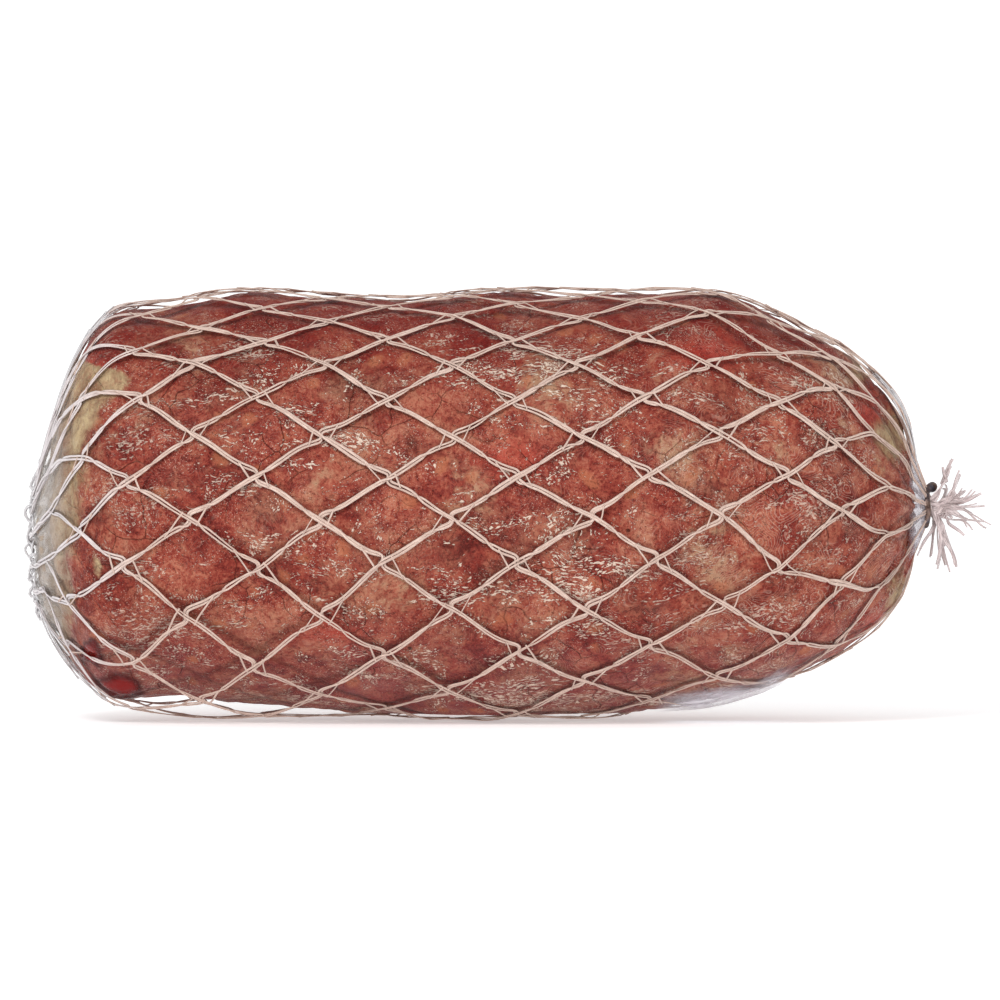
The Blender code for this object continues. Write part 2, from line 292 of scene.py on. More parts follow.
def chunks(points, size, seed):
    """Cellular noise: the distances to the nearest and second nearest scattered point."""
    scaled = points / size
    cell = np.floor(scaled).astype(np.int64)
    first = np.full(scaled.shape[:-1], 9.0)
    second = first.copy()
    for corner in np.ndindex(3, 3, 3):
        near = cell + np.array(corner) - 1
        spot = np.stack([hashed(near, seed + axis) for axis in (1, 2, 3)], axis=-1)
        away = np.linalg.norm(near + spot - scaled, axis=-1)
        second = np.minimum(second, np.maximum(first, away))
        first = np.minimum(first, away)
    return first, second


def step_up(value, low, high):
    """Smooth step from 0 at low to 1 at high."""
    share = np.clip((value - low) / (high - low), 0, 1)
    return share * share * (3 - 2 * share)


# Meshes from arrays


def mesh_object(name, points, faces, uv=None):
    """Object whose mesh has the points and face lists; uv is one pair for each face corner."""
    mesh = bpy.data.meshes.new(name)
    points = np.asarray(points, np.float32).reshape(-1, 3)
    corners = np.concatenate([np.asarray(group, np.int32).ravel() for group in faces])
    sizes = np.concatenate([np.full(len(group), np.shape(group)[1]) for group in faces])
    mesh.vertices.add(len(points))
    mesh.vertices.foreach_set("co", (points + TO_ROW).astype(np.float32).ravel())
    mesh.loops.add(len(corners))
    mesh.loops.foreach_set("vertex_index", corners)
    mesh.polygons.add(len(sizes))
    starts = np.concatenate([[0], np.cumsum(sizes)[:-1]]).astype(np.int32)
    mesh.polygons.foreach_set("loop_start", starts)
    if uv is not None:
        layer = mesh.uv_layers.new(name="UVMap")
        layer.data.foreach_set("uv", np.asarray(uv, np.float32).ravel())
    mesh.update(calc_edges=True)
    mesh.validate()
    mesh.shade_smooth()
    piece = bpy.data.objects.new(name, mesh)
    bpy.context.scene.collection.objects.link(piece)
    return piece


def grid_index(points):
    """Vertex numbers of a grid of points, as the single strand that ring_faces takes."""
    return np.arange(points.shape[0] * points.shape[1]).reshape(1, *points.shape[:2])


def ring_faces(index, closed=True):
    """Quads between neighbouring rings of an index array (strands, stations, sides)."""
    following = np.roll(index, -1, axis=2) if closed else index[:, :, 1:]
    here = index if closed else index[:, :, :-1]
    stack = [here[:, :-1], following[:, :-1], following[:, 1:], here[:, 1:]]
    return np.stack(stack, axis=-1).reshape(-1, 4)


def unit(vectors):
    """Vectors brought to length one."""
    return vectors / (np.linalg.norm(vectors, axis=-1, keepdims=True) + 1e-12)


def run_length(centre):
    """Distance run along each path, from its first point."""
    steps = np.diff(centre, axis=1, prepend=centre[:, :1])
    return np.cumsum(np.linalg.norm(steps, axis=-1), axis=1)


def tube_bundle(name, centre, outward, half_width, half_thickness, look, sides, roll=0.0, tag=0.0):
    """Closed flat tubes along paths: an ellipse carried along each, wide across, thin outward.

    centre and outward are (strands, stations, 3). The UV runs in centimetres along and once round.
    look is what finish_piece takes after the piece.
    """
    count, stations = centre.shape[:2]
    forward = unit(np.gradient(centre, axis=1))
    outward = unit(outward - forward * np.sum(outward * forward, axis=-1, keepdims=True))
    across = np.cross(outward, forward)
    turn = math.tau * np.arange(sides) / sides
    flat = np.broadcast_to(half_width, (count, stations))[..., None] * np.cos(turn)
    tall = np.broadcast_to(half_thickness, (count, stations))[..., None] * np.sin(turn)
    roll = np.broadcast_to(roll, (count, stations))[..., None]
    wide = flat * np.cos(roll) - tall * np.sin(roll)
    high = flat * np.sin(roll) + tall * np.cos(roll)
    rings = centre[:, :, None] + wide[..., None] * across[:, :, None]
    rings = rings + high[..., None] * outward[:, :, None]
    index = np.arange(count * stations * sides).reshape(count, stations, sides)
    quads = ring_faces(index)
    along = np.broadcast_to(run_length(centre)[..., None] * 100, (count, stations, sides + 1))
    tags = tag + 7.3 * np.arange(count)[:, None, None]
    round_share = np.broadcast_to(np.arange(sides + 1) / sides, along.shape) + tags
    uv = np.stack([along, round_share], axis=-1)
    corners = [uv[:, :-1, :-1], uv[:, :-1, 1:], uv[:, 1:, 1:], uv[:, 1:, :-1]]
    side_uv = np.stack(corners, axis=3).reshape(-1, 2)
    caps = np.concatenate([index[:, 0, ::-1], index[:, -1]])
    cap_uv = np.concatenate([uv[:, 0, :-1], uv[:, -1, :-1]]).reshape(-1, 2)
    all_uv = np.concatenate([side_uv, cap_uv])
    return finish_piece(mesh_object(name, rings, [quads, caps], all_uv), *look)


def finish_piece(piece, material, slot, node):
    """Gives a piece its material and its body to ride on, hides what it replaces; slot is unused.
    """
    piece.data.materials.append(material)
    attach(piece, "root")
    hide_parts(node)
    return piece


# Shader building


class Value:
    """A node's output to reckon with: every step adds a node to the same shader tree.

    A colour is a Value, or a display's three numbers from 0 to 255.
    """

    def __init__(self, tree, socket):
        self.tree = tree
        self.socket = socket

    def make(self, kind, inputs, output=0, **settings):
        """One output of a new node in the same tree."""
        return Value(self.tree, put(self.tree, kind, inputs, **settings).outputs[output])

    def calc(self, operation, other):
        """One arithmetic step on this value and another."""
        return self.make("ShaderNodeMath", {0: self, 1: other}, operation=operation)

    def __add__(self, other):
        return self.calc("ADD", other)

    def __sub__(self, other):
        return self.calc("SUBTRACT", other)

    def __rsub__(self, other):
        return self.make("ShaderNodeMath", {0: other, 1: self}, operation="SUBTRACT")

    def __mul__(self, other):
        return self.calc("MULTIPLY", other)

    def clamped(self):
        """This arithmetic step, its result held from 0 to 1."""
        self.socket.node.use_clamp = True
        return self

    def between(self, first, second):
        """The colour between two by this share."""
        return self.make("ShaderNodeMix", {0: self, 6: first, 7: second}, 2, data_type="RGBA")

    def towards(self, colour, share):
        """This colour mixed with another by a share."""
        return self.make("ShaderNodeMix", {0: share, 6: self, 7: colour}, 2, data_type="RGBA")

    def ramp(self, low, high, start=0.0, end=1.0):
        """Smooth change from start to end as this value goes from low to high."""
        inputs = {0: self, 1: low, 2: high, 3: start, 4: end}
        return self.make("ShaderNodeMapRange", inputs, interpolation_type="SMOOTHSTEP")

    def colours(self, stops):
        """A colour picked by this value from stops of a position and a display colour."""
        picked = self.make("ShaderNodeValToRGB", {0: self}, "Color")
        elements = picked.socket.node.color_ramp.elements
        while len(elements) < len(stops):
            elements.new(0.5)
        for element, (position, shade) in zip(elements, stops):
            element.position = position
            element.color = (*srgb(*shade), 1.0)
        return picked

    def noise(self, scale, detail=3.0, roughness=0.55, distortion=0.0, output="Fac"):
        """Fractal noise at this place, of so many waves a metre, or a UV unit."""
        inputs = {"Vector": self, "Scale": scale, "Detail": detail, "Roughness": roughness}
        return self.make("ShaderNodeTexNoise", {**inputs, "Distortion": distortion}, output)

    def cells(self, scale, channel=0, **smoothness):
        """Cell noise at this place: the distance to a cell's point, and a number for each cell."""
        inputs = {"Vector": self, "Scale": scale, **smoothness}
        feature = "SMOOTH_F1" if smoothness else "F1"
        distance = self.make("ShaderNodeTexVoronoi", inputs, "Distance", feature=feature)
        colour = Value(self.tree, distance.socket.node.outputs["Color"])
        return distance, self.make("ShaderNodeSeparateColor", {0: colour}, channel)

    def stretched(self, scale, rotation=(0.0, 0.0, 0.0)):
        """This place turned and scaled unevenly, so that a pattern on it comes out stretched."""
        inputs = {"Vector": self, "Rotation": rotation, "Scale": scale}
        return self.make("ShaderNodeMapping", inputs)

    def warped(self, scale, amount):
        """This place pushed about by coloured noise, so that a pattern loses its regular look."""
        kind = "ShaderNodeVectorMath"
        push = self.noise(scale, 2.0, 0.5, output="Color")
        centred = self.make(kind, {0: push, 1: (0.5, 0.5, 0.5)}, operation="SUBTRACT")
        moved = self.make(kind, {0: centred, "Scale": amount}, operation="SCALE")
        return self.make(kind, {0: self, 1: moved}, operation="ADD")

    def grouped(self, group, numbers=None):
        """What a shader group gives for this place and its own numbers."""
        inputs = {"Vector": self, **(numbers or {})}
        node = put(self.tree, "ShaderNodeGroup", inputs, node_tree=group)
        return [Value(self.tree, output) for output in node.outputs]

    def bump(self, strength, distance):
        """The normal of a surface with this relief."""
        inputs = {"Strength": strength, "Distance": distance, "Height": self}
        return self.make("ShaderNodeBump", inputs)


def put(tree, kind, inputs, **settings):
    """Adds a node, sets its settings, and fills or links its inputs by name or index."""
    node = tree.nodes.new(kind)
    for key, value in settings.items():
        setattr(node, key, value)
    fill(node, inputs)
    return node


def fill(node, inputs):
    """Links Values to a node's inputs and sets the rest, three numbers as a display's colour."""
    for key, value in inputs.items():
        socket = node.inputs[key]
        if isinstance(value, Value):
            value.tree.links.new(value.socket, socket)
        elif socket.type == "RGBA" and len(value) == 3:
            socket.default_value = (*srgb(*value), 1.0)
        else:
            socket.default_value = value


def new_group(name, numbers, outputs=("Mask",)):
    """An empty shader group of a vector and some numbers: its inputs as Values, and its end."""
    group = bpy.data.node_groups.new(name, "ShaderNodeTree")
    sockets = group.interface
    sockets.new_socket("Vector", in_out="INPUT", socket_type="NodeSocketVector")
    for title, number in numbers.items():
        socket = sockets.new_socket(title, in_out="INPUT", socket_type="NodeSocketFloat")
        socket.default_value = number
    for title in outputs:
        sockets.new_socket(title, in_out="OUTPUT", socket_type="NodeSocketFloat")
    given = group.nodes.new("NodeGroupInput").outputs
    values = {socket.name: Value(group, socket) for socket in given}
    return group, values, group.nodes.new("NodeGroupOutput")


def fleck_group():
    """Dry whitish flecks: sharp fine noise kept only inside drifting clusters of coarse noise."""
    numbers = {"Fleck Scale": 900.0, "Cluster Scale": 90.0, "Amount": 0.5}
    group, given, end = new_group("dry flecks", numbers)
    fine = given["Vector"].noise(given["Fleck Scale"], 3.0, 0.6)
    cluster = given["Vector"].noise(given["Cluster Scale"], 3.0, 0.6)
    level = (1.51 - given["Amount"] * cluster).calc("MAXIMUM", 0.53)
    fill(end, {"Mask": (fine - level).ramp(0.0, 0.05)})
    return group


def hairline_group():
    """Fine curling lines: the places where a warped noise passes evenly spaced levels."""
    numbers = {"Scale": 60.0, "Levels": 9.0, "Width": 0.08}
    group, given, end = new_group("curling hairlines", numbers)
    field = given["Vector"].warped(110.0, 0.006).noise(given["Scale"], 1.0, 0.4)
    wave = (field * given["Levels"]).calc("PINGPONG", 0.5)
    fill(end, {"Mask": wave.ramp(given["Width"], 0.0)})
    return group


def crease_group():
    """Creases between chunks: near a warped cell's border, where coarse noise allows."""
    numbers = {"Scale": 34.0, "Width": 0.03, "Amount": 0.5}
    group, given, end = new_group("creases", numbers)
    inputs = {"Vector": given["Vector"].warped(55.0, 0.016), "Scale": given["Scale"]}
    feature = "DISTANCE_TO_EDGE"
    border = given["Vector"].make("ShaderNodeTexVoronoi", inputs, "Distance", feature=feature)
    allowed = given["Vector"].noise(38.0, 2.0).ramp(1.02 - given["Amount"], 0.62)
    fill(end, {"Mask": border.ramp(given["Width"], 0.0) * allowed})
    return group


def yarn_group():
    """Lengthwise fibres on a yarn's UV: noise stretched along it, with slow soiling on top."""
    group, given, end = new_group("yarn fibres", {}, ("Fibres", "Soil"))
    fibres = given["Vector"].stretched((2.2, 9.0, 1.0)).noise(1.6, 4.0, 0.65)
    soil = given["Vector"].stretched((0.9, 0.6, 1.0)).noise(1.0, 2.0)
    fill(end, {"Fibres": fibres, "Soil": soil})
    return group


FLECKS, HAIRLINES, CREASES, YARN = fleck_group(), hairline_group(), crease_group(), yarn_group()


def new_material(name, coordinates="Object"):
    """An empty material, its Principled BSDF and one kind of texture coordinates."""
    material = bpy.data.materials.new(name)
    material.use_nodes = True
    tree = material.node_tree
    place = Value(tree, tree.nodes.new("ShaderNodeTexCoord").outputs[coordinates])
    return material, tree.nodes["Principled BSDF"], place


def mask_of(place, name):
    """A mask stored on the mesh's points."""
    return place.make("ShaderNodeAttribute", {}, "Fac", attribute_name=name)


def meat_material():
    """Cured meat under a thin casing: mottled reds, fat, film, dry flecks, creases and pinholes."""
    material, shader, here = new_material("cured meat")
    names = ("crown", "under", "haze", "rosy", "fibrous", "dry", "fat", "film", "lobe", "strand_shadow")
    masks = {name: mask_of(here, name) for name in names}
    loose = here.warped(70.0, 0.010)
    tone = loose.cells(120.0, Smoothness=0.6)[1]
    broad = here.noise(42.0, 4.0, 0.6, 0.6)
    fine = here.noise(330.0, 4.0, 0.7, 0.8)
    grain = here.noise(1300.0, 3.0, 0.7)

    # Lean meat: top partly painted shade, underside painted shade, tan haze, rosy spots.
    shade = tone * 0.20 + broad * 0.34 + fine * 0.64 + grain * 0.48
    colour = shade.colours([
        (0.61, (80, 22, 18)),
        (0.74, (115, 39, 32)),
        (0.83, (138, 59, 46)),
        (0.93, (156, 82, 64)),
        (0.99, (172, 104, 82)),
    ])
    # The top darker and redder: partly the meat's own deeper red, partly painted shade.
    colour = colour.towards(colour.towards((110, 6, 4), 0.55), masks["crown"] * 0.95)
    # Painted purplish shade and reflection on the underside.
    painted_underside = masks["under"] * broad.ramp(0.3, 0.65, 0.45, 0.80)
    colour = colour.towards(colour.towards((124, 66, 72), 0.6), painted_underside)
    haze = loose.noise(55.0, 5.0, 0.68).ramp(0.44, 0.62) * masks["haze"]
    haze = (haze * fine.ramp(0.38, 0.62, 0.22, 0.88)).clamped()
    colour = colour.towards((166, 124, 98), haze)
    rosy = masks["rosy"] * fine.ramp(0.36, 0.60, 0.25, 0.72)
    colour = colour.towards((166, 52, 42), rosy)

    # Fat bits, hairlines, painted shade in creases, dark specks, dry flecks, frost and pinholes.
    away, pick = loose.cells(105.0)
    bits = away.ramp(0.36, 0.16) * pick.ramp(0.66, 0.70)
    colour = colour.towards((178, 108, 76), bits * 0.50)
    curls = here.grouped(HAIRLINES, {"Scale": 62.0, "Levels": 44.0, "Width": 0.22})[0]
    curls = curls * masks["fibrous"] * loose.noise(90.0, 2.0).ramp(0.42, 0.60, 0.0, 0.44)
    colour = colour.towards((208, 164, 146), curls)
    creases = here.grouped(CREASES, {"Scale": 78.0, "Width": 0.018, "Amount": 0.52})[0]
    # Painted shade in the creases.
    colour = colour.towards((66, 28, 20), creases * 0.60)
    specks = loose.noise(1000.0, 2.0, 0.6).ramp(0.40, 0.33)
    colour = colour.towards((84, 34, 26), specks * 0.42)
    layers = [
        (loose.stretched((0.26, 1.0, 1.0), (0.0, 0.42, 0.0)), 1700.0, 90.0, 1.572),
        (loose.stretched((0.30, 1.0, 1.1), (0.0, -0.60, 0.3)), 1600.0, 96.0, 1.565),
        (loose, 1400.0, 115.0, 1.570),
    ]
    titles = ("Fleck Scale", "Cluster Scale", "Amount")
    flecks = [way.grouped(FLECKS, dict(zip(titles, numbers)))[0] for way, *numbers in layers]
    dry = flecks[0].calc("MAXIMUM", flecks[1]).calc("MAXIMUM", flecks[2])
    dry = (dry * masks["dry"]).clamped()
    colour = colour.towards((226, 206, 188), dry * 0.82)
    frost = here.noise(2300.0, 2.0, 0.6).ramp(0.60, 0.68)
    frost = frost * loose.noise(80.0, 3.0).ramp(0.44, 0.60, 0.05, 0.62)
    colour = colour.towards((216, 182, 164), frost)
    away, pick = here.cells(62.0, channel=1)
    pits = away.ramp(0.060, 0.030) * pick.ramp(0.84, 0.86)
    colour = colour.towards((58, 22, 14), pits * 0.85)

    # Cream fat and milky film at the ends, the glossy lobes, and painted shadow along the strands.
    fat = (masks["fat"] + (broad - 0.5) * 1.3 + (fine - 0.5) * 0.5).ramp(0.32, 0.76)
    fat_tone = here.stretched((1.8, 1.0, 0.6)).noise(150.0, 4.0, 0.65).ramp(0.35, 0.7)
    cream = fat_tone.between((138, 110, 82), (190, 168, 130))
    colour = colour.towards(cream, fat * fine.ramp(0.35, 0.6, 0.60, 0.95))
    skin = (masks["film"] + (fine - 0.5) * 0.7).ramp(0.30, 0.85)
    colour = colour.towards((172, 158, 148), skin * 0.62)
    lobe = masks["lobe"]
    # The lobes' own deep red, with painted shading: a darker rim and a brighter core.
    lobe_red_and_shading = lobe.ramp(0.55, 0.95).between((72, 10, 8), (124, 8, 4))
    colour = colour.towards(lobe_red_and_shading, lobe.ramp(0.30, 0.62))
    # Painted shadow of the strands on the meat.
    colour = colour.towards(colour.towards((52, 18, 12), 0.8), masks["strand_shadow"] * 0.48)

    rough = here.noise(260.0, 4.0, 0.7).ramp(0.35, 0.68, 0.34, 0.62) + dry * 0.20
    rough = ((rough - lobe * 0.36).clamped() - skin * 0.14).clamped()
    height = fine + grain * 0.60 - creases * 0.8 - pits - specks * 0.4 + dry * 0.40 + curls * 0.5
    height = height * (1.0 - lobe * 0.85)
    fill(shader, {"Base Color": colour, "Roughness": rough, "Specular IOR Level": 0.10})
    fill(shader, {"Normal": height.bump(0.85, 0.0006)})
    return material


def yarn_material(name, light, dark, thinnest=1.0):
    """Flat cotton yarn: pale fibres with darker gaps along it, soft sheen and fibre bump.

    Where the mask "clear_backlit" is on, it is clearer and glossier, and painted lighter as if lit
    through. thinnest is how opaque it is where it is most worn out.
    """
    material, shader, along = new_material(name, "UV")
    fibres, soil = along.grouped(YARN)
    clear_backlit = mask_of(along, "clear_backlit")
    clear = fibres.ramp(0.35, 0.62).between((196, 190, 194), (236, 232, 236))
    colour = fibres.ramp(0.38, 0.60).between(dark, light)
    colour = colour.towards(dark, soil.ramp(0.40, 0.75, 0.0, 0.45))
    # Clearer strands at the blunt end, painted lighter as if lit through.
    colour = colour.towards(clear, clear_backlit * 0.80)
    fill(shader, {"Base Color": colour, "Roughness": clear_backlit.ramp(0.0, 1.0, 0.72, 0.30)})
    fill(shader, {"Sheen Weight": 0.25, "Normal": fibres.bump(0.6, 0.0002)})
    if thinnest < 1:
        fill(shader, {"Alpha": (fibres + soil).ramp(0.80, 1.10, thinnest, 1.0)})
    return material


def elastic_material():
    """Glossy grey rubbery thread, with small brighter and duller stretches."""
    material, shader, along = new_material("clear elastic thread", "UV")
    fibres, soil = along.grouped(YARN)
    colour = fibres.ramp(0.35, 0.65).between((176, 171, 172), (228, 226, 228))
    fill(shader, {"Base Color": colour, "Roughness": soil.ramp(0.3, 0.7, 0.10, 0.30)})
    fill(shader, {"Coat Weight": 0.8, "Coat Roughness": 0.08, "Specular IOR Level": 0.8})
    return material


def wire_material():
    """Dull dark wire with brownish oxide, a few brighter rubbed spots and fine drawn scratches."""
    material, shader, here = new_material("dull dark wire")
    patches = here.noise(420.0, 4.0, 0.65).ramp(0.35, 0.68)
    colour = patches.between((72, 53, 47), (140, 117, 106))
    # Painted bluish reflection in patches.
    colour = colour.towards((78, 86, 104), here.noise(160.0, 2.0).ramp(0.45, 0.6, 0.0, 0.5))
    scratches = here.stretched((4.0, 1.0, 1.0)).noise(700.0, 3.0)
    fill(shader, {"Base Color": colour, "Roughness": patches.ramp(0.0, 1.0, 0.55, 0.30)})
    fill(shader, {"Metallic": 0.85, "Normal": scratches.bump(0.4, 0.0002)})
    return material


def film_material(name, dull, bright):
    """Thin casing film: almost clear, milky where it is crumpled, with bright creases."""
    material, shader, here = new_material(name)
    folds = here.stretched((0.7, 1.0, 1.8)).noise(150.0, 4.0, 0.6, 1.2)
    milky = folds.ramp(0.36, 0.68)
    opaque = milky.ramp(0.0, 1.0, 0.55, 0.95) * mask_of(here, "opacity")
    fill(shader, {"Base Color": milky.between(dull, bright), "Alpha": opaque})
    fill(shader, {"Roughness": 0.16, "Normal": folds.bump(0.6, 0.0010)})
    return material


# The meat


def store(piece, name, values):
    """Keeps a mask on the mesh's points, for the material to read."""
    attribute = piece.data.attributes.new(name, "FLOAT", "POINT")
    attribute.data.foreach_set("value", np.asarray(values, np.float32).ravel())


def net_grooves(arc, angle):
    """From 0 on a strand's line to 1 in a mesh's middle: the smaller of two slanted waves."""
    even = np.linspace(-0.5, 1.5, 2001) * math.tau
    bent = bent_round(even)
    along, turned = np.zeros_like(arc), np.zeros_like(arc)
    for _ in range(3):
        row = (arc - along - FIRST_ROW) / ROW_STEP
        column = np.interp((angle - turned) % math.tau, bent, even) - COLUMN_START
        column = column * MESHES / math.tau
        along, turned = crossing_shift(row, column)
    rising = np.abs(np.sin(math.pi * (column - row / 2)))
    falling = np.abs(np.sin(math.pi * (column + row / 2)))
    return np.minimum(rising, falling)


def near_spot(points, x, height, wide, tall):
    """Gaussian of the distance, seen from the front, to a spot x along and height off the floor."""
    along = (points[..., 0] - x) / wide
    up = (points[..., 2] - FLOOR - height) / tall
    return np.exp(-(along**2) - up**2) * (points[..., 1] < 0)


def meat_relief(points, arc, angle):
    """Relief of the meat: chunks, small lumps, pillows in the meshes, end pleats and lobes."""
    from_strands = net_grooves(arc, angle)
    first, second = chunks(points + 0.004 * soft_noise(points, 0.012, 5)[..., None], CHUNK, 11)
    relief = CHUNK_HEIGHT * (step_up(second - first, 0.0, 0.35) - 0.6)
    relief += 0.00030 * rough_noise(points, 0.0065, 21)
    relief += 0.00055 * soft_noise(points, 0.024, 31)
    relief += PILLOW * (step_up(from_strands, 0.0, 0.6) - 0.7)
    relief += 0.0009 * soft_noise(points, 0.013, 35) * step_up(arc, 0.245, 0.290)
    towards_clip = step_up(arc, ARC[-1] - 0.045, ARC[-1] - 0.012)
    wander = 2.6 * soft_noise(points, 0.018, 41)
    relief += PLEAT_HEIGHT * towards_clip * np.sin(PLEATS * angle + wander)
    folded = 1 - step_up(arc, 0.030, 0.058)
    wander = 3 * soft_noise(points, 0.016, 51)
    relief += FOLD_HEIGHT * folded * np.sin(points[..., 0] / FOLD_PITCH + wander)
    for *spot, stands in GLOSSY_LOBES:
        relief += stands * near_spot(points, *spot)
    relief = np.minimum(relief, 0.00015 + 0.0022 * step_up(from_strands, 0.03, 0.5))
    settle = step_up(arc, 0.0, 0.010) * step_up(ARC[-1] - arc, 0.0, 0.010)
    return relief * settle


# The fat's inner edge at the blunt end: height off the floor and place along, in millimetres.
CREAM_EDGE = [
    (10, 6), (26, 12.4), (41, 13.6), (51, 12.2), (61, 15), (74, 15.8),
    (90, 18.9), (97, 21.5), (104, 30), (108, 29), (112, 15), (122, 12),
]
# Spots in millimetres: along, height off the floor, half width and half height.
CREAM_SPOTS = [(255, 108, 7, 7), (265, 88, 8, 10), (267, 40, 6, 9), (20, 49, 2.2, 5.2)]
ROSY_SPOTS = [
    (257, 96, 4, 7.5), (260, 30.5, 6, 4.5), (18, 108.5, 5, 5),
    (148, 83, 11, 5), (206, 114, 12, 5), (94, 30, 10, 5),
]
# Round tan spots: along, height off the floor and size.
TAN_SPOTS = [
    (46, 116, 9), (193, 109, 10), (196, 84, 11), (156, 103, 11), (134, 74, 10),
    (210, 53, 11), (204, 21, 11), (246, 94, 8), (30, 88, 8), (88, 80, 9),
    (112, 44, 8), (226, 87, 7), (247, 109, 7),
]
# Glossy lobes low on the blunt end: as the cream spots, and how far each stands out.
GLOSSY_LOBES = np.array([(18.2, 22.2, 4.4, 4.4, 1.4), (27, 11.2, 9, 5.6, 1.6)]) / 1000


def meat_masks(points, arc, angle):
    """Where the meat is fat, filmy, hazy, rosy, dry or fibrous, and where shade is painted."""
    height = points[..., 2] - FLOOR
    x = points[..., 0]
    edge = np.interp(height, *(np.array(CREAM_EDGE).T / 1000))
    edge = edge + 0.0036 * rough_noise(points, 0.009, 61)
    fat = np.clip(0.5 + 0.5 * (edge - x) / 0.005, 0, 1)
    waves = [rough_noise(points, 0.007, 70 + k) for k in range(3)]
    wavy = points + 0.0035 * np.stack(waves, axis=-1)
    cream, rosy, tan = (
        np.max([near_spot(wavy, *spot[:3], spot[-1]) for spot in np.array(spots) / 1000], axis=0)
        for spots in (CREAM_SPOTS, ROSY_SPOTS, TAN_SPOTS)
    )
    fat = np.maximum(fat, 0.80 * cream)
    haze = np.maximum(0.40 + 0.25 * soft_noise(points, 0.045, 63), 2.0 * tan)
    lobe = sum(near_spot(wavy, *spot[:4]) for spot in GLOSSY_LOBES)
    dry = 0.50 + 0.60 * np.exp(-(((x - 0.140) / 0.080) ** 2)) + 0.3 * soft_noise(points, 0.040, 65)
    return {
        "fat": fat * (1 - np.clip(2 * lobe, 0, 1)),
        "film": np.clip(1.20 - x / 0.016, 0, 1) + 0.4 * step_up(x, 0.252, 0.272),
        "haze": haze * (1 - 0.6 * step_up(height, 0.100, 0.124)) * (1 - rosy),
        "rosy": rosy,
        "dry": dry * (1 - 0.6 * step_up(height, 0.105, 0.130)),
        "fibrous": 0.25 + 0.75 * step_up(x + 0.03 * soft_noise(points, 0.05, 67), 0.150, 0.215),
        # Top: partly painted shade, partly the meat's own deeper red.
        "crown": step_up(height, 0.092, 0.126),
        # Painted purplish shade and reflection below.
        "under": 1 - step_up(height, 0.008, 0.040),
        "lobe": lobe,
        # Painted shadow along the strands.
        "strand_shadow": 1 - step_up(net_grooves(arc, angle), 0.04, 0.22),
    }


def meat_log():
    """The meat's whole surface: a closed grid of arc and angle carried onto the log with relief."""
    arc = ARC[-1] * np.arange(1, MEAT_ALONG)[:, None] / MEAT_ALONG
    angle = math.tau * np.arange(MEAT_ROUND)[None, :] / MEAT_ROUND
    arc, angle = np.broadcast_arrays(arc, angle)
    relief = meat_relief(on_log(arc, angle), arc, angle)
    rings = on_log(arc, angle, relief)
    rings[..., 2] = np.maximum(rings[..., 2], FLOOR + BODY_REST)
    poles = on_log(np.array([0.0, ARC[-1]]), np.zeros(2))
    points = np.concatenate([rings.reshape(-1, 3), poles])
    index = grid_index(rings)
    quads = ring_faces(index)[:, ::-1]
    first, last = index[0, 0], index[0, -1]
    start, end = len(points) - 2, len(points) - 1
    blunt_fan = np.stack([np.full(MEAT_ROUND, start), first, np.roll(first, -1)], axis=-1)
    clip_fan = np.stack([np.full(MEAT_ROUND, end), np.roll(last, -1), last], axis=-1)
    piece = mesh_object("meat", points, [quads, blunt_fan, clip_fan])
    all_arc = np.concatenate([arc.ravel(), [0.0, ARC[-1]]])
    all_angle = np.concatenate([angle.ravel(), [0.0, 0.0]])
    for name, values in meat_masks(points, all_arc, all_angle).items():
        store(piece, name, values)
    return finish_piece(piece, meat_material(), "meat", "salami")


# The net


def bent_round(even):
    """Angles made closer on top and wider at the lower front, by one cosine and one sine."""
    return even + COLUMN_BEND[0] * (np.cos(even) - 1) + COLUMN_BEND[1] * np.sin(even)


def shift_grid():
    """Shifts of the net on a grid of rows and half columns: bell-weighted means of the measured.

    The back, which no measure covers, takes each row's mean shift along and no turn.
    """
    known = []
    for row, shifts in enumerate(CROSSING_SHIFTS, 1):
        first = -5 if row % 2 else -4
        known += [(row, first + 2 * k, *shift) for k, shift in enumerate(shifts)]
        mean = sum(along for along, _ in shifts) / len(shifts)
        known += [(row, half, mean, 0.0) for half in range(8, 2 * MESHES - 8, 2)]
    row, half, along, turned = np.array(known).T
    rows, halves = np.arange(ROWS)[:, None, None], np.arange(2 * MESHES)[None, :, None]
    aside = (halves - half + MESHES) % (2 * MESHES) - MESHES
    weight = np.exp(-((rows - row) ** 2 + aside**2) / SHIFT_BLEND)
    total = weight.sum(axis=2)
    means = [(weight * value).sum(axis=2) / total for value in (along / 1000, np.radians(turned))]
    return np.stack(means, axis=-1)


SHIFTS = shift_grid()


def crossing_shift(row, column):
    """Shift of the net along and round the log at a row and column: bilinear on the grid."""
    row, half = np.broadcast_arrays(np.clip(row, 0, ROWS - 1.001), 2 * np.asarray(column))
    low, left = np.floor(row).astype(int), np.floor(half).astype(int)
    up, right = (row - low)[..., None], (half - left)[..., None]
    shares = {(a, b): abs(1 - a - up) * abs(1 - b - right) for a, b in np.ndindex(2, 2)}
    shift = sum(
        share * SHIFTS[low + a, (left + b) % (2 * MESHES)] for (a, b), share in shares.items()
    )
    return shift[..., 0], shift[..., 1]


def net_spot(row, column):
    """Arc and angle of a row and column of the net, with its shifts and, behind, some wander."""
    along, turned = crossing_shift(row, column)
    arc = FIRST_ROW + ROW_STEP * row + along
    angle = bent_round(COLUMN_START + math.tau * column / MESHES) + turned
    spots = np.stack([arc, 0.06 * np.cos(angle), 0.06 * np.sin(angle)], axis=-1)
    behind = step_up(-np.cos(angle), -0.1, 0.4)
    arc = arc + 0.0013 * behind * soft_noise(spots, 0.026, 71)
    return arc, angle + 0.020 * behind * soft_noise(spots, 0.024, 73)


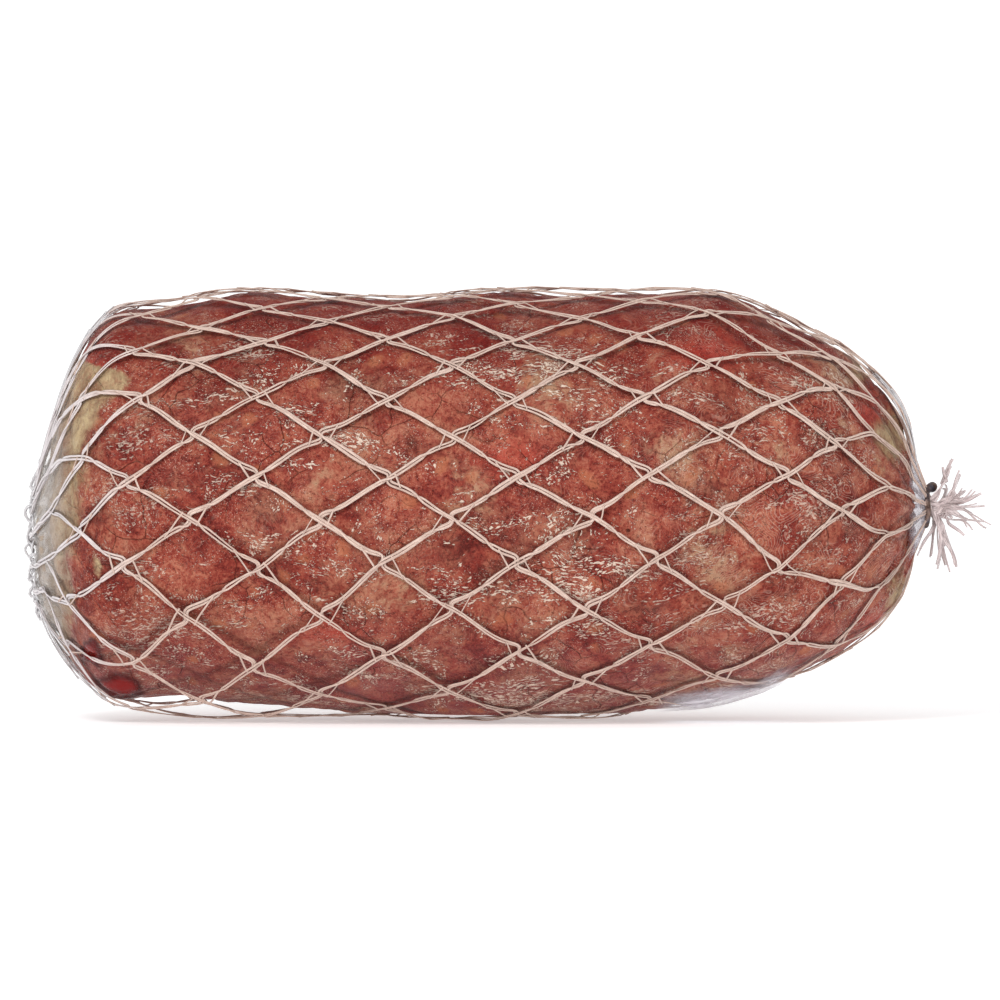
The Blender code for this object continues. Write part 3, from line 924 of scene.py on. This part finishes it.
def strand_rows():
    """Rows at which a strand is worked out, close together about each crossing."""
    share = np.linspace(-1, 1, STEPS_A_ROW + 1)[:-1]
    about = 0.5 * np.sign(share) * np.abs(share) ** 1.5
    rows = (np.arange(ROWS)[:, None] + about).ravel()
    return rows[(rows >= 0) & (rows <= ROWS - 1)]


def hop(away):
    """Rows that a strand moves along the one it crosses: it comes in low and leaves high."""
    return -HOP * np.tanh(away / HOP_TURN) * np.exp(-((away / HOP_REACH) ** 2))


def steadied(row):
    """Rows made a little flatter at the crossings, by one sine a row."""
    return row - FLATTER_CROSSING * np.sin(math.tau * row) / math.tau


def strand_line(start, lean, row):
    """Arc and angle along a strand: half a column a row, with a hop at every second crossing."""
    nearest = np.round(row)
    hopped = np.where(nearest % 2 == (1 if lean > 0 else 0), hop(row - nearest), 0.0)
    return net_spot(row + hopped, start + lean * (steadied(row) - hopped))


def yarn_lift(arc, angle):
    """Height of the yarns off the taut meat: a little everywhere, more on top and on the caps."""
    crown = np.maximum(0, np.sin(angle)) ** 6 * step_up(arc, 0.045, 0.085)
    ripple = 0.5 + 0.5 * np.cos(math.tau * (arc - 0.075) / 0.118)
    blunt = 1 - step_up(arc, 0.028, 0.070)
    return YARN_LIFT + CROWN_LIFT * crown * (0.25 + 0.75 * ripple) + 0.0004 * blunt


def hang(points, angle):
    """Lets the net hang slack below the blunt end, and keeps it on the floor."""
    below = np.maximum(0, -np.sin(angle)) ** 5
    near = np.maximum(0, 1 - ((points[..., 0] - SLACK_MIDDLE) / SLACK_REACH) ** 2)
    lowest = FLOOR + STRAND / 2
    hung = points.copy()
    hung[..., 2] += (lowest - points[..., 2]) * below * near
    hung[..., 2] = np.maximum(hung[..., 2], lowest)
    return hung


def drawn_to_clip(points):
    """Carries the net near the clip out to the cone that touches the log and the clip's neck.

    Over the top it hangs a little looser: a bell of the place along, times the height's square.
    """
    lean = (SIDE_R - GATHER_RADIUS) / (CLIP_X - SIDE_X)
    touch = np.argmax(np.where(SIDE_X > BELLY, lean, 0))
    cone = GATHER_RADIUS + (CLIP_X - points[..., 0]) * lean[touch]
    middle = axis_at(points[..., 0])
    radius = np.hypot(points[..., 1] / WIDER, points[..., 2] - middle)
    upper = np.maximum(0, (points[..., 2] - middle) / radius) ** 2
    slack = CLIP_SLACK * upper * np.exp(-(((points[..., 0] - CLIP_SLACK_X) / 0.0060) ** 2))
    on_cone = np.where(points[..., 0] > SIDE_X[touch], np.maximum(radius, cone), radius)
    grow = (on_cone + slack) / radius
    carried = points.copy()
    carried[..., 1] = points[..., 1] * grow
    carried[..., 2] = middle + (points[..., 2] - middle) * grow
    return carried


def net_place(arc, angle, lift):
    """Point of the net and its outward direction, from two nearby lifts of the same place."""
    here = on_log(arc, angle, lift, taut_bulge)
    above = on_log(arc, angle, lift + 0.001, taut_bulge)
    return drawn_to_clip(hang(here, angle)), (above - here) / 0.001


def smoothed(path, width):
    """A path averaged along itself with a bell-shaped weight, its ends held."""
    reach = int(3 * width)
    weights = np.exp(-0.5 * (np.arange(-reach, reach + 1) / width) ** 2)
    weights /= weights.sum()
    padded = np.pad(path, ((0, 0), (reach, reach), (0, 0)), mode="edge")
    padded[:, :reach] = 2 * path[:, :1] - path[:, reach:0:-1]
    padded[:, -reach:] = 2 * path[:, -1:] - path[:, -2:-reach - 2:-1]
    return sum(w * padded[:, k:k + path.shape[1]] for k, w in enumerate(weights))


def gathered(arc, angle, blunt):
    """Arc and angle of strands from their last crossings straight, as seen end-on, to the goal."""
    radius = np.interp(arc, ARC, SIDE_R)
    across, up = -radius * np.cos(angle), radius * np.sin(angle)
    if blunt:
        goal = (-0.0012 * np.cos(angle), CREST_HALF * 0.85 * np.sin(angle) - CREST_DROP)
    else:
        goal = (-0.5 * NECK_RADIUS * np.cos(angle), 0.5 * NECK_RADIUS * np.sin(angle))
    share = np.arange(1, GATHER_STEPS + 1) / GATHER_STEPS
    across = across[:, None] + (goal[0] - across)[:, None] * share
    up = up[:, None] + (goal[1] - up)[:, None] * share
    return end_place(across, up, blunt)


def strand_family(lean):
    """Centre lines and outward directions of the strands that lean one way, from crest to neck."""
    row = strand_rows()
    start = np.arange(MESHES)[:, None]
    arc, angle = strand_line(start, lean, np.broadcast_to(row, (MESHES, len(row))))
    blunt_arc, blunt_angle = gathered(arc[:, 0], angle[:, 0], True)
    clip_arc, clip_angle = gathered(arc[:, -1], angle[:, -1], False)
    arc = np.concatenate([blunt_arc[:, ::-1], arc, clip_arc], axis=1)
    angle = np.concatenate([blunt_angle[:, ::-1], angle, clip_angle], axis=1)
    full_row = np.pad(row, GATHER_STEPS, constant_values=(0.0, ROWS - 1.0))
    over = np.sign(lean) * WEAVE_HEIGHT * np.cos(math.pi * full_row)
    blunt_rise = np.clip(1 - np.arange(arc.shape[1]) / GATHER_STEPS, 0, 1) * 0.0009
    centre, outward = net_place(arc, angle, yarn_lift(arc, angle) + over + blunt_rise)
    centre = smoothed(centre, 1.5)
    neck = neck_run(centre[:, -1])
    centre = np.concatenate([centre, neck], axis=1)
    outward = np.concatenate([outward, np.repeat(outward[:, -1:], neck.shape[1], axis=1)], axis=1)
    return centre, outward


def neck_run(ends):
    """Straight runs from the strands' ends at the clip pole into the clip, closing up a little."""
    share = np.linspace(0.12, 1, 10)[None, :, None]
    goal = ends.copy()
    goal[:, 0] = CLIP_X + 0.0006
    away = ends[:, 1:] - [0, AXIS_END]
    near = GATHER_RADIUS * 0.9 / np.linalg.norm(away, axis=-1, keepdims=True)
    goal[:, 1:] = away * np.minimum(near, 1) + [0, AXIS_END]
    return ends[:, None] + (goal - ends)[:, None] * share


def twisted_pair(name, centre, outward, seed, look):
    """Two flat tapes for each strand: side by side nearly all the way, now and then swapped."""
    across = np.cross(outward, unit(np.gradient(centre, axis=1)))
    begin = np.random.default_rng(seed).uniform(0, math.tau, (len(centre), 1))
    phase = math.tau * run_length(centre) / TWIST_PITCH + begin
    phase = phase + 2.2 * soft_noise(centre, 0.030, seed)
    apart = 1 + 0.45 * soft_noise(centre, 0.0075, seed + 1)
    spread = TWIST_SPREAD * np.tanh(5.0 * np.cos(phase)) * apart
    rise = TWIST_HEIGHT * np.sin(phase) * (0.3 + 0.7 / np.cosh(4.0 * np.cos(phase)))
    offset = spread[..., None] * across + rise[..., None] * outward
    both = np.concatenate([centre + offset, centre - offset])
    up = np.concatenate([outward, outward])
    wide = TAPE_HALF_WIDTH * (1 + 0.34 * soft_noise(both, 0.009, seed + 2))
    wide = wide * (1 - 0.30 * step_up(both[..., 0], 0.252, 0.268))
    roll = 0.40 * soft_noise(both, 0.014, seed + 3)
    thick = TAPE_HALF_THICKNESS * (1 + 0.2 * soft_noise(both, 0.007, seed + 4))
    piece = tube_bundle(name, both, up, wide, thick, look, 6, roll, seed)
    # Clearer strands at the blunt end, which the yarn paints lighter as if lit through.
    clear_backlit = 1 - step_up(both[..., 0] + 0.006 * soft_noise(both, 0.012, seed + 5), 0.004, 0.040)
    store(piece, "clear_backlit", np.repeat(clear_backlit[..., None], 6, axis=-1))


def bridging_yarns(look):
    """Thin yarns beside each crossing: where a strand comes in low, one goes on to the high end.

    The crossed strand carries the hopping one over a short way, so each yarn closes a small
    triangle between the two strands, one before the crossing and one after it.
    """
    draw = np.random.default_rng(83)
    grid = np.meshgrid(np.arange(1, ROWS - 1), np.arange(MESHES), (-1, 1), indexing="ij")
    row, column, side = (values.ravel()[:, None] for values in grid)
    column = column + 0.5 * (row % 2)
    lean = np.where(row % 2 == 1, 0.5, -0.5)
    away = side * BRIDGE_AT * draw.uniform(0.75, 1.35, row.shape)
    begin = (row + away + hop(away), column + lean * (steadied(away) - hop(away)))
    reached = side * HOP * draw.uniform(1.0, 1.5, row.shape)
    end = (row + reached, column - lean * reached)
    share = np.linspace(-0.12, 1.08, 9)[None, :]
    arc, angle = net_spot(*(a + (b - a) * share for a, b in zip(begin, end)))
    centre, outward = net_place(arc, angle, yarn_lift(arc, angle) + 0.0002)
    wide = BRIDGE_HALF_WIDTH * draw.uniform(0.7, 1.35, (len(centre), 1))
    tube_bundle("net_bridges", centre, outward, wide, 0.00020, look, 5, tag=3.1)


def crest_loops(look):
    """The bunched loops of the closed end: a chain of rings, lying flat and standing by turns."""
    draw = np.random.default_rng(91)
    each = (CREST_RINGS, 1)
    turn = np.linspace(0, math.tau, 25)[None, :-1]
    standing = np.arange(CREST_RINGS)[:, None] % 2
    middle = CREST_HALF * np.linspace(1, -1, CREST_RINGS)[:, None] - CREST_DROP
    tall = 0.0026 * draw.uniform(0.75, 1.25, each)
    wide = 0.0013 * draw.uniform(0.7, 1.45, each)
    tilt = draw.uniform(-0.7, 0.7, each)
    sideways = wide * np.sin(turn) * np.cos(tilt) - tall * np.cos(turn) * np.sin(tilt)
    up = middle + wide * np.sin(turn) * np.sin(tilt) + tall * np.cos(turn) * np.cos(tilt)
    across = sideways * np.where(standing, 0.25, 1.0) + draw.uniform(-0.0005, 0.0005, each)
    arc, angle = end_place(across, up, True)
    pinched = 0.0005 * np.sin(2 * turn + draw.uniform(0, math.tau, each))
    stand = 0.0013 + pinched + np.where(standing, sideways, 0.45 * sideways)
    loops = net_place(arc, angle, stand)
    centre, outward = (np.concatenate([part, part[:, :3]], axis=1) for part in loops)
    uneven = 1 + 0.25 * np.sin(3 * np.arange(centre.shape[1]))
    thick = 0.00044 * draw.uniform(0.8, 1.25, each) * uneven
    tube_bundle("crest_loops", centre, outward, 1.5 * thick, thick, look, 8, tag=5.7)


def elastic_filaments(look):
    """Thin clear threads that run over the blunt cap into the crest and over the clipped one."""
    draw = np.random.default_rng(97)
    each = (FILAMENTS, 1)
    blunt = np.arange(FILAMENTS) < BLUNT_FILAMENTS
    side = np.where(blunt, draw.choice((-1, 1), FILAMENTS), 1)
    angle = side * math.pi / 2 + np.where(blunt, 0.20, 0.11) * draw.normal(0, 1, FILAMENTS)
    far, close = draw.uniform(0.045, 0.085, FILAMENTS), draw.uniform(0.024, 0.052, FILAMENTS)
    fans = [
        gathered(far[blunt], angle[blunt], True),
        gathered(ARC[-1] - close[~blunt], angle[~blunt], False),
    ]
    arc, angle = (np.concatenate(parts) for parts in zip(*fans))
    sway = 0.05 * np.sin(np.linspace(0, math.pi, GATHER_STEPS) * draw.uniform(1, 2.5, each))
    lift = 0.0007 + 0.0013 * draw.uniform(0, 1, each)
    centre, outward = net_place(arc, angle + sway * draw.choice((-1, 1), each), lift)
    centre = smoothed(centre, 1.5)
    thick = 0.00020 * draw.uniform(0.7, 1.5, each)
    tube_bundle("elastic_filaments", centre, outward, 1.5 * thick, thick, look, 5, tag=8.2)


def whole_net():
    """Both families of strands, the bridges, and the bunched closed end."""
    yarn = yarn_material("net yarn", (224, 200, 186), (176, 146, 132)), "net_yarn", "net"
    elastic = elastic_material(), "net_yarn", "net"
    for lean, title, seed in ((0.5, "net_rising", 101), (-0.5, "net_falling", 202)):
        centre, outward = strand_family(lean)
        twisted_pair(title, centre, outward, seed, yarn)
    bridging_yarns(yarn)
    crest_loops(elastic)
    elastic_filaments(elastic)


# The clip and the tail

CLIP_RADIUS = NECK_RADIUS + CLEAR + 0.0011
CLIP_OVERLAP = 0.0024
CLIP_LAP = math.radians(34)
WIRE_RADIUS = 0.00116


def wire_clip():
    """The clip: a wire bent once round the neck with its rounded ends lapped on top."""
    share = np.linspace(0, 1, 150)
    angle = math.pi / 2 - CLIP_LAP / 2 + (math.tau + CLIP_LAP) * share
    dents = 0.00008 * np.sin(9 * angle) + 0.00006 * np.sin(23 * angle)
    radius = CLIP_RADIUS + dents + 0.0006 * (1 - step_up(share, 0.0, 0.10))
    aside = CLIP_OVERLAP * (1 - step_up(share, 0.0, 0.13)) - 0.0010 * step_up(share, 0.80, 1.0)
    x = CLIP_X - 0.0006 + aside + 0.00025 * np.sin(2.3 * angle)
    centre = np.stack([x, radius * np.cos(angle), AXIS_END + radius * np.sin(angle)], axis=-1)
    outward = np.stack([0 * angle, np.cos(angle), np.sin(angle)], axis=-1)
    ends = np.sqrt(np.clip(np.minimum(share, 1 - share) / 0.022, 0.02, 1))
    knob = 1 + 0.42 * np.exp(-(((share - 0.03) / 0.035) ** 2))
    thick = (WIRE_RADIUS * ends * knob)[None]
    look = wire_material(), "clip_wire", "clip"
    tube_bundle("wire_clip", centre[None], outward[None], thick, thick, look, 14)


TAIL_START = CLIP_X - 0.0002
TAIL_FORKS = 2
TAIL_REACH = 0.0190
TAIL_SWAY = 0.0011
# Where the frayed ribbons end, in millimetres: out from the clip, towards the back, and up from
# the clip's axis.
TAIL_TIPS = [
    (6.2, -1.0, 14.2), (7.5, 2.0, 12.8), (11.2, -3.0, 9.2), (12.8, 3.0, 7.2), (14.0, -4.5, 5.0),
    (16.5, 1.0, 3.2), (18.0, -2.0, 0.8), (18.4, 1.5, -4.2), (17.8, -3.0, -5.6), (14.0, 4.0, -6.2),
    (10.0, -4.0, -10.0), (8.2, -1.0, -19.0), (6.2, 1.5, -18.2), (3.0, -2.0, -20.5),
    (1.2, 1.2, -16.5), (-1.6, -3.0, -15.0), (4.5, 6.0, -12.0), (10.5, 7.0, 3.0),
    (9.5, -7.5, 1.0), (7.0, 8.5, -4.0), (6.0, -8.5, -3.0), (6.0, 7.0, 7.0),
]


def tail_paths(tips, begins, bends, phase, pitch, share):
    """Curves from the clip to the tips: quadratic arcs with waves that grow towards the tips."""
    share = share[None, :, None]
    path = (1 - share) ** 2 * begins[:, None] + 2 * share * (1 - share) * bends[:, None]
    sway = TAIL_SWAY * share * np.sin(math.tau * pitch[:, None] * share + phase[:, None])
    return path + share**2 * tips[:, None] + sway + [TAIL_START, 0, AXIS_END]


def frayed_tail(look):
    """The cut end of the net: flat ribbons leave the clip in a bunch and split at their tips."""
    draw = np.random.default_rng(113)
    tips = np.array(TAIL_TIPS) / 1000
    count = len(tips)
    begins = np.stack([np.zeros(count), *draw.uniform(-0.0022, 0.0022, (2, count))], axis=-1)
    bends = begins + [0.0050, 0, 0] + 0.12 * tips * [0, 1, 1]
    phase, pitch = draw.uniform(0, math.tau, (count, 3)), draw.uniform(0.7, 1.6, (count, 3))
    share = np.linspace(0, 1, 40)
    body = tail_paths(tips, begins, bends, phase, pitch, share * 0.80)
    outward = draw.normal(0, 1, (count, 1, 3)) + [0, -1.5, 0]
    width = draw.uniform(0.00075, 0.00135, (count, 1))
    width = width * (1 + 0.25 * np.sin(9 * share + phase[:, :1]))
    roll = draw.uniform(-1.6, 1.6, (count, 1)) * share
    tube_bundle("frayed_ribbons", body, outward, width, 0.00022, look, 8, roll, 12.0)
    split = np.repeat(np.arange(count), TAIL_FORKS)
    ends = tips[split] + draw.normal(0, 0.0010, (len(split), 3)) * [0.6, 1.0, 1.0]
    ends[:, 0] = np.minimum(ends[:, 0], TAIL_REACH)
    share = np.linspace(0.62, 1, 22)
    apart = step_up(share, 0.70, 1.0)[None, :, None]
    curves = (part[split] for part in (tips, begins, bends, phase, pitch))
    forks = tail_paths(*curves, share) + (ends - tips[split])[:, None] * apart
    outward = np.repeat(outward, TAIL_FORKS, axis=0)
    narrow = draw.uniform(0.00034, 0.00066, (len(split), 1))
    narrow = narrow * (1 - 0.25 * step_up(share, 0.85, 1.0))
    roll = draw.uniform(-1, 1, (len(split), 1))
    tube_bundle("frayed_tips", forks, outward, narrow, 0.00016, look, 5, roll, 15.0)


# The casing's loose films

FLAP_ENDS = (0.190, 0.236)
FLAP_ANGLES = (math.radians(-57), math.radians(-88))
NECK_FROM = 0.2692
NECK_PLEATS = 27
VEIL_ARC = 0.056
VEIL_COVER = 0.40
VEIL_PLEATS = 31


def casing_sheet(name, sheet, quads, opacity, thickness, material):
    """A thin film of the casing: its grid and faces, how opaque it is, and how thick."""
    piece = mesh_object(name, sheet, [quads])
    store(piece, "opacity", np.broadcast_to(opacity, sheet.shape[:2]))
    solid = piece.modifiers.new("thickness", "SOLIDIFY")
    solid.thickness = thickness
    return finish_piece(piece, material, "meat", "salami")


def film_flap(material):
    """Loose film low at the front, towards the clip: a thin crumpled sheet just off the meat."""
    along = np.linspace(*FLAP_ENDS, 76)[:, None]
    down = np.linspace(*FLAP_ANGLES, 44)[None, :]
    arc, angle = np.broadcast_arrays(np.interp(along, SIDE_X, ARC), down)
    base = on_log(arc, angle)
    ends = (along - FLAP_ENDS[0]) / (FLAP_ENDS[1] - FLAP_ENDS[0])
    low_share = (down - FLAP_ANGLES[0]) / (FLAP_ANGLES[1] - FLAP_ANGLES[0])
    crumple = 0.0004 * rough_noise(base, 0.009, 121) + 0.0008
    droop = 0.0016 * low_share**2 * np.sin(math.pi * ends)
    sheet = on_log(arc, angle, crumple + droop)
    sheet[..., 2] = np.maximum(sheet[..., 2], FLOOR + 0.0006)
    quads = ring_faces(grid_index(sheet), closed=False)[:, ::-1]
    edge = step_up(ends, 0.0, 0.30) * step_up(1 - ends, 0.0, 0.30)
    top = step_up(low_share + 0.30 * soft_noise(base, 0.010, 123), 0.15, 0.80)
    return casing_sheet("casing_film", sheet, quads, edge * top, 0.00012, material)


def casing_neck(material):
    """The empty casing drawn into the clip: a cone from the meat's end, pleated round the axis."""
    share = np.linspace(0, 1, 40)[:, None]
    angle = np.linspace(0, math.tau, 260)[None, :-1]
    x = NECK_FROM + (CLIP_X - NECK_FROM) * share
    wide, narrow = np.interp(NECK_FROM, SIDE_X, SIDE_R), 0.8 * NECK_RADIUS
    cone = narrow + (wide - narrow) * (1 - share) ** 0.85
    loose = 0.5 * CLIP_SLACK * np.maximum(0, np.sin(angle)) ** 2 * np.sin(math.pi * share**0.6)
    wander = 1.5 * np.sin(3 * angle) + 1.2 * np.sin(5 * angle + 2)
    pleats = 0.0007 * np.sin(math.pi * share) * np.sin(NECK_PLEATS * angle + wander)
    radius = cone + loose + pleats
    sheet = [x, -WIDER * radius * np.cos(angle), axis_at(x) + radius * np.sin(angle)]
    sheet = np.stack(np.broadcast_arrays(*sheet), axis=-1)
    opacity = 0.50 * step_up(share, 0.0, 0.6)
    quads = ring_faces(grid_index(sheet))[:, ::-1]
    return casing_sheet("casing_neck", sheet, quads, opacity, 0.00012, material)


def casing_veil(material):
    """The casing's closed end: a thin milky bag from the crest back over the blunt cap."""
    turn = np.linspace(0, math.tau, 420)[:-1]
    arc, angle = gathered(np.full(turn.shape, VEIL_ARC), turn, True)
    base = on_log(arc, angle)
    wander = 3 * np.sin(3 * turn) + 2 * np.sin(7 * turn)
    radial = 0.00035 * np.sin(VEIL_PLEATS * turn + wander)[:, None]
    lift = 0.0007 + radial + 0.0003 * rough_noise(base, 0.008, 131)
    sheet = net_place(arc, angle, lift)[0]
    quads = ring_faces(np.swapaxes(grid_index(sheet), 1, 2))
    cover = 1 - step_up(arc + 0.010 * rough_noise(base, 0.014, 133), 0.018, 0.046)
    opacity = VEIL_COVER * cover * (0.75 + 0.5 * soft_noise(base, 0.006, 135))
    return casing_sheet("casing_veil", sheet, quads, opacity, 0.00010, material)


# The studio: soft lights with a name, a place, a size and watts, all turned to one point.

LIGHT_AIM = (0, 0, 0.06)
SOFT_LIGHTS = [
    ("key_softbox", (-0.7, -1.7, 1.5), 0.55, 23),
    ("fill_softbox", (0.9, -2.0, 0.3), 1.4, 10),
]


def studio():
    """White floor running up into a backdrop, even light from all round, and two soft lights."""
    depth = np.linspace(-3.0, 2.0, 90)
    rise = 1.2 - np.sqrt(np.clip(1.44 - (depth - 1.0) ** 2, 0, None))
    x, y = np.meshgrid(np.linspace(-3.0, 3.0, 3), depth, indexing="ij")
    z = np.broadcast_to(np.where(depth < 1.0, 0.0, rise), x.shape) - 0.0002
    points = np.stack([x, y, z], axis=-1)
    quads = ring_faces(grid_index(points), closed=False)
    floor = mesh_object("studio_floor", points - TO_ROW, [quads])
    material, shader, _ = new_material("white sweep")
    fill(shader, {"Base Color": (0.90, 0.90, 0.91, 1), "Roughness": 0.9})
    fill(shader, {"Emission Color": (1, 1, 1, 1), "Emission Strength": 0.40})
    floor.data.materials.append(material)
    world = bpy.data.worlds.new("white surround")
    world.use_nodes = True
    fill(world.node_tree.nodes["Background"], {"Color": (1, 1, 1, 1), "Strength": 0.68})
    scene = bpy.context.scene
    scene.world = world
    scene.view_settings.view_transform = "Standard"
    for name, place, size, watts in SOFT_LIGHTS:
        light = bpy.data.lights.new(name, "AREA")
        light.size = size
        light.energy = watts
        placed(name, light, place, np.subtract(LIGHT_AIM, place))
    lens = bpy.data.cameras.new("camera")
    lens.sensor_width = 36
    lens.lens = 36 * CAMERA_DISTANCE / FRAME_WIDTH
    lens.clip_end = 50
    back = np.array([0, -math.cos(CAMERA_ELEVATION), math.sin(CAMERA_ELEVATION)])
    scene.camera = placed("camera", lens, np.array(CAMERA_AIM) + back * CAMERA_DISTANCE, -back)


def placed(name, data, place, direction):
    """A light or camera at a place, its -Z turned along a direction, its Y upwards."""
    thing = bpy.data.objects.new(name, data)
    thing.location = place
    thing.rotation_mode = "QUATERNION"
    towards = Vector([float(part) for part in direction])
    thing.rotation_quaternion = towards.to_track_quat("-Z", "Y")
    bpy.context.scene.collection.objects.link(thing)
    return thing


meat_log()
whole_net()
wire_clip()
frayed_yarn = yarn_material("frayed yarn", (234, 220, 218), (194, 174, 174), thinnest=0.45)
frayed_tail((frayed_yarn, "frayed_yarn", "net_tail"))
loose_film = film_material("loose casing film", (214, 208, 216), (236, 232, 240))
film_flap(loose_film)
casing_neck(loose_film)
casing_veil(film_material("milky casing end", (204, 196, 188), (230, 225, 221)))
studio()
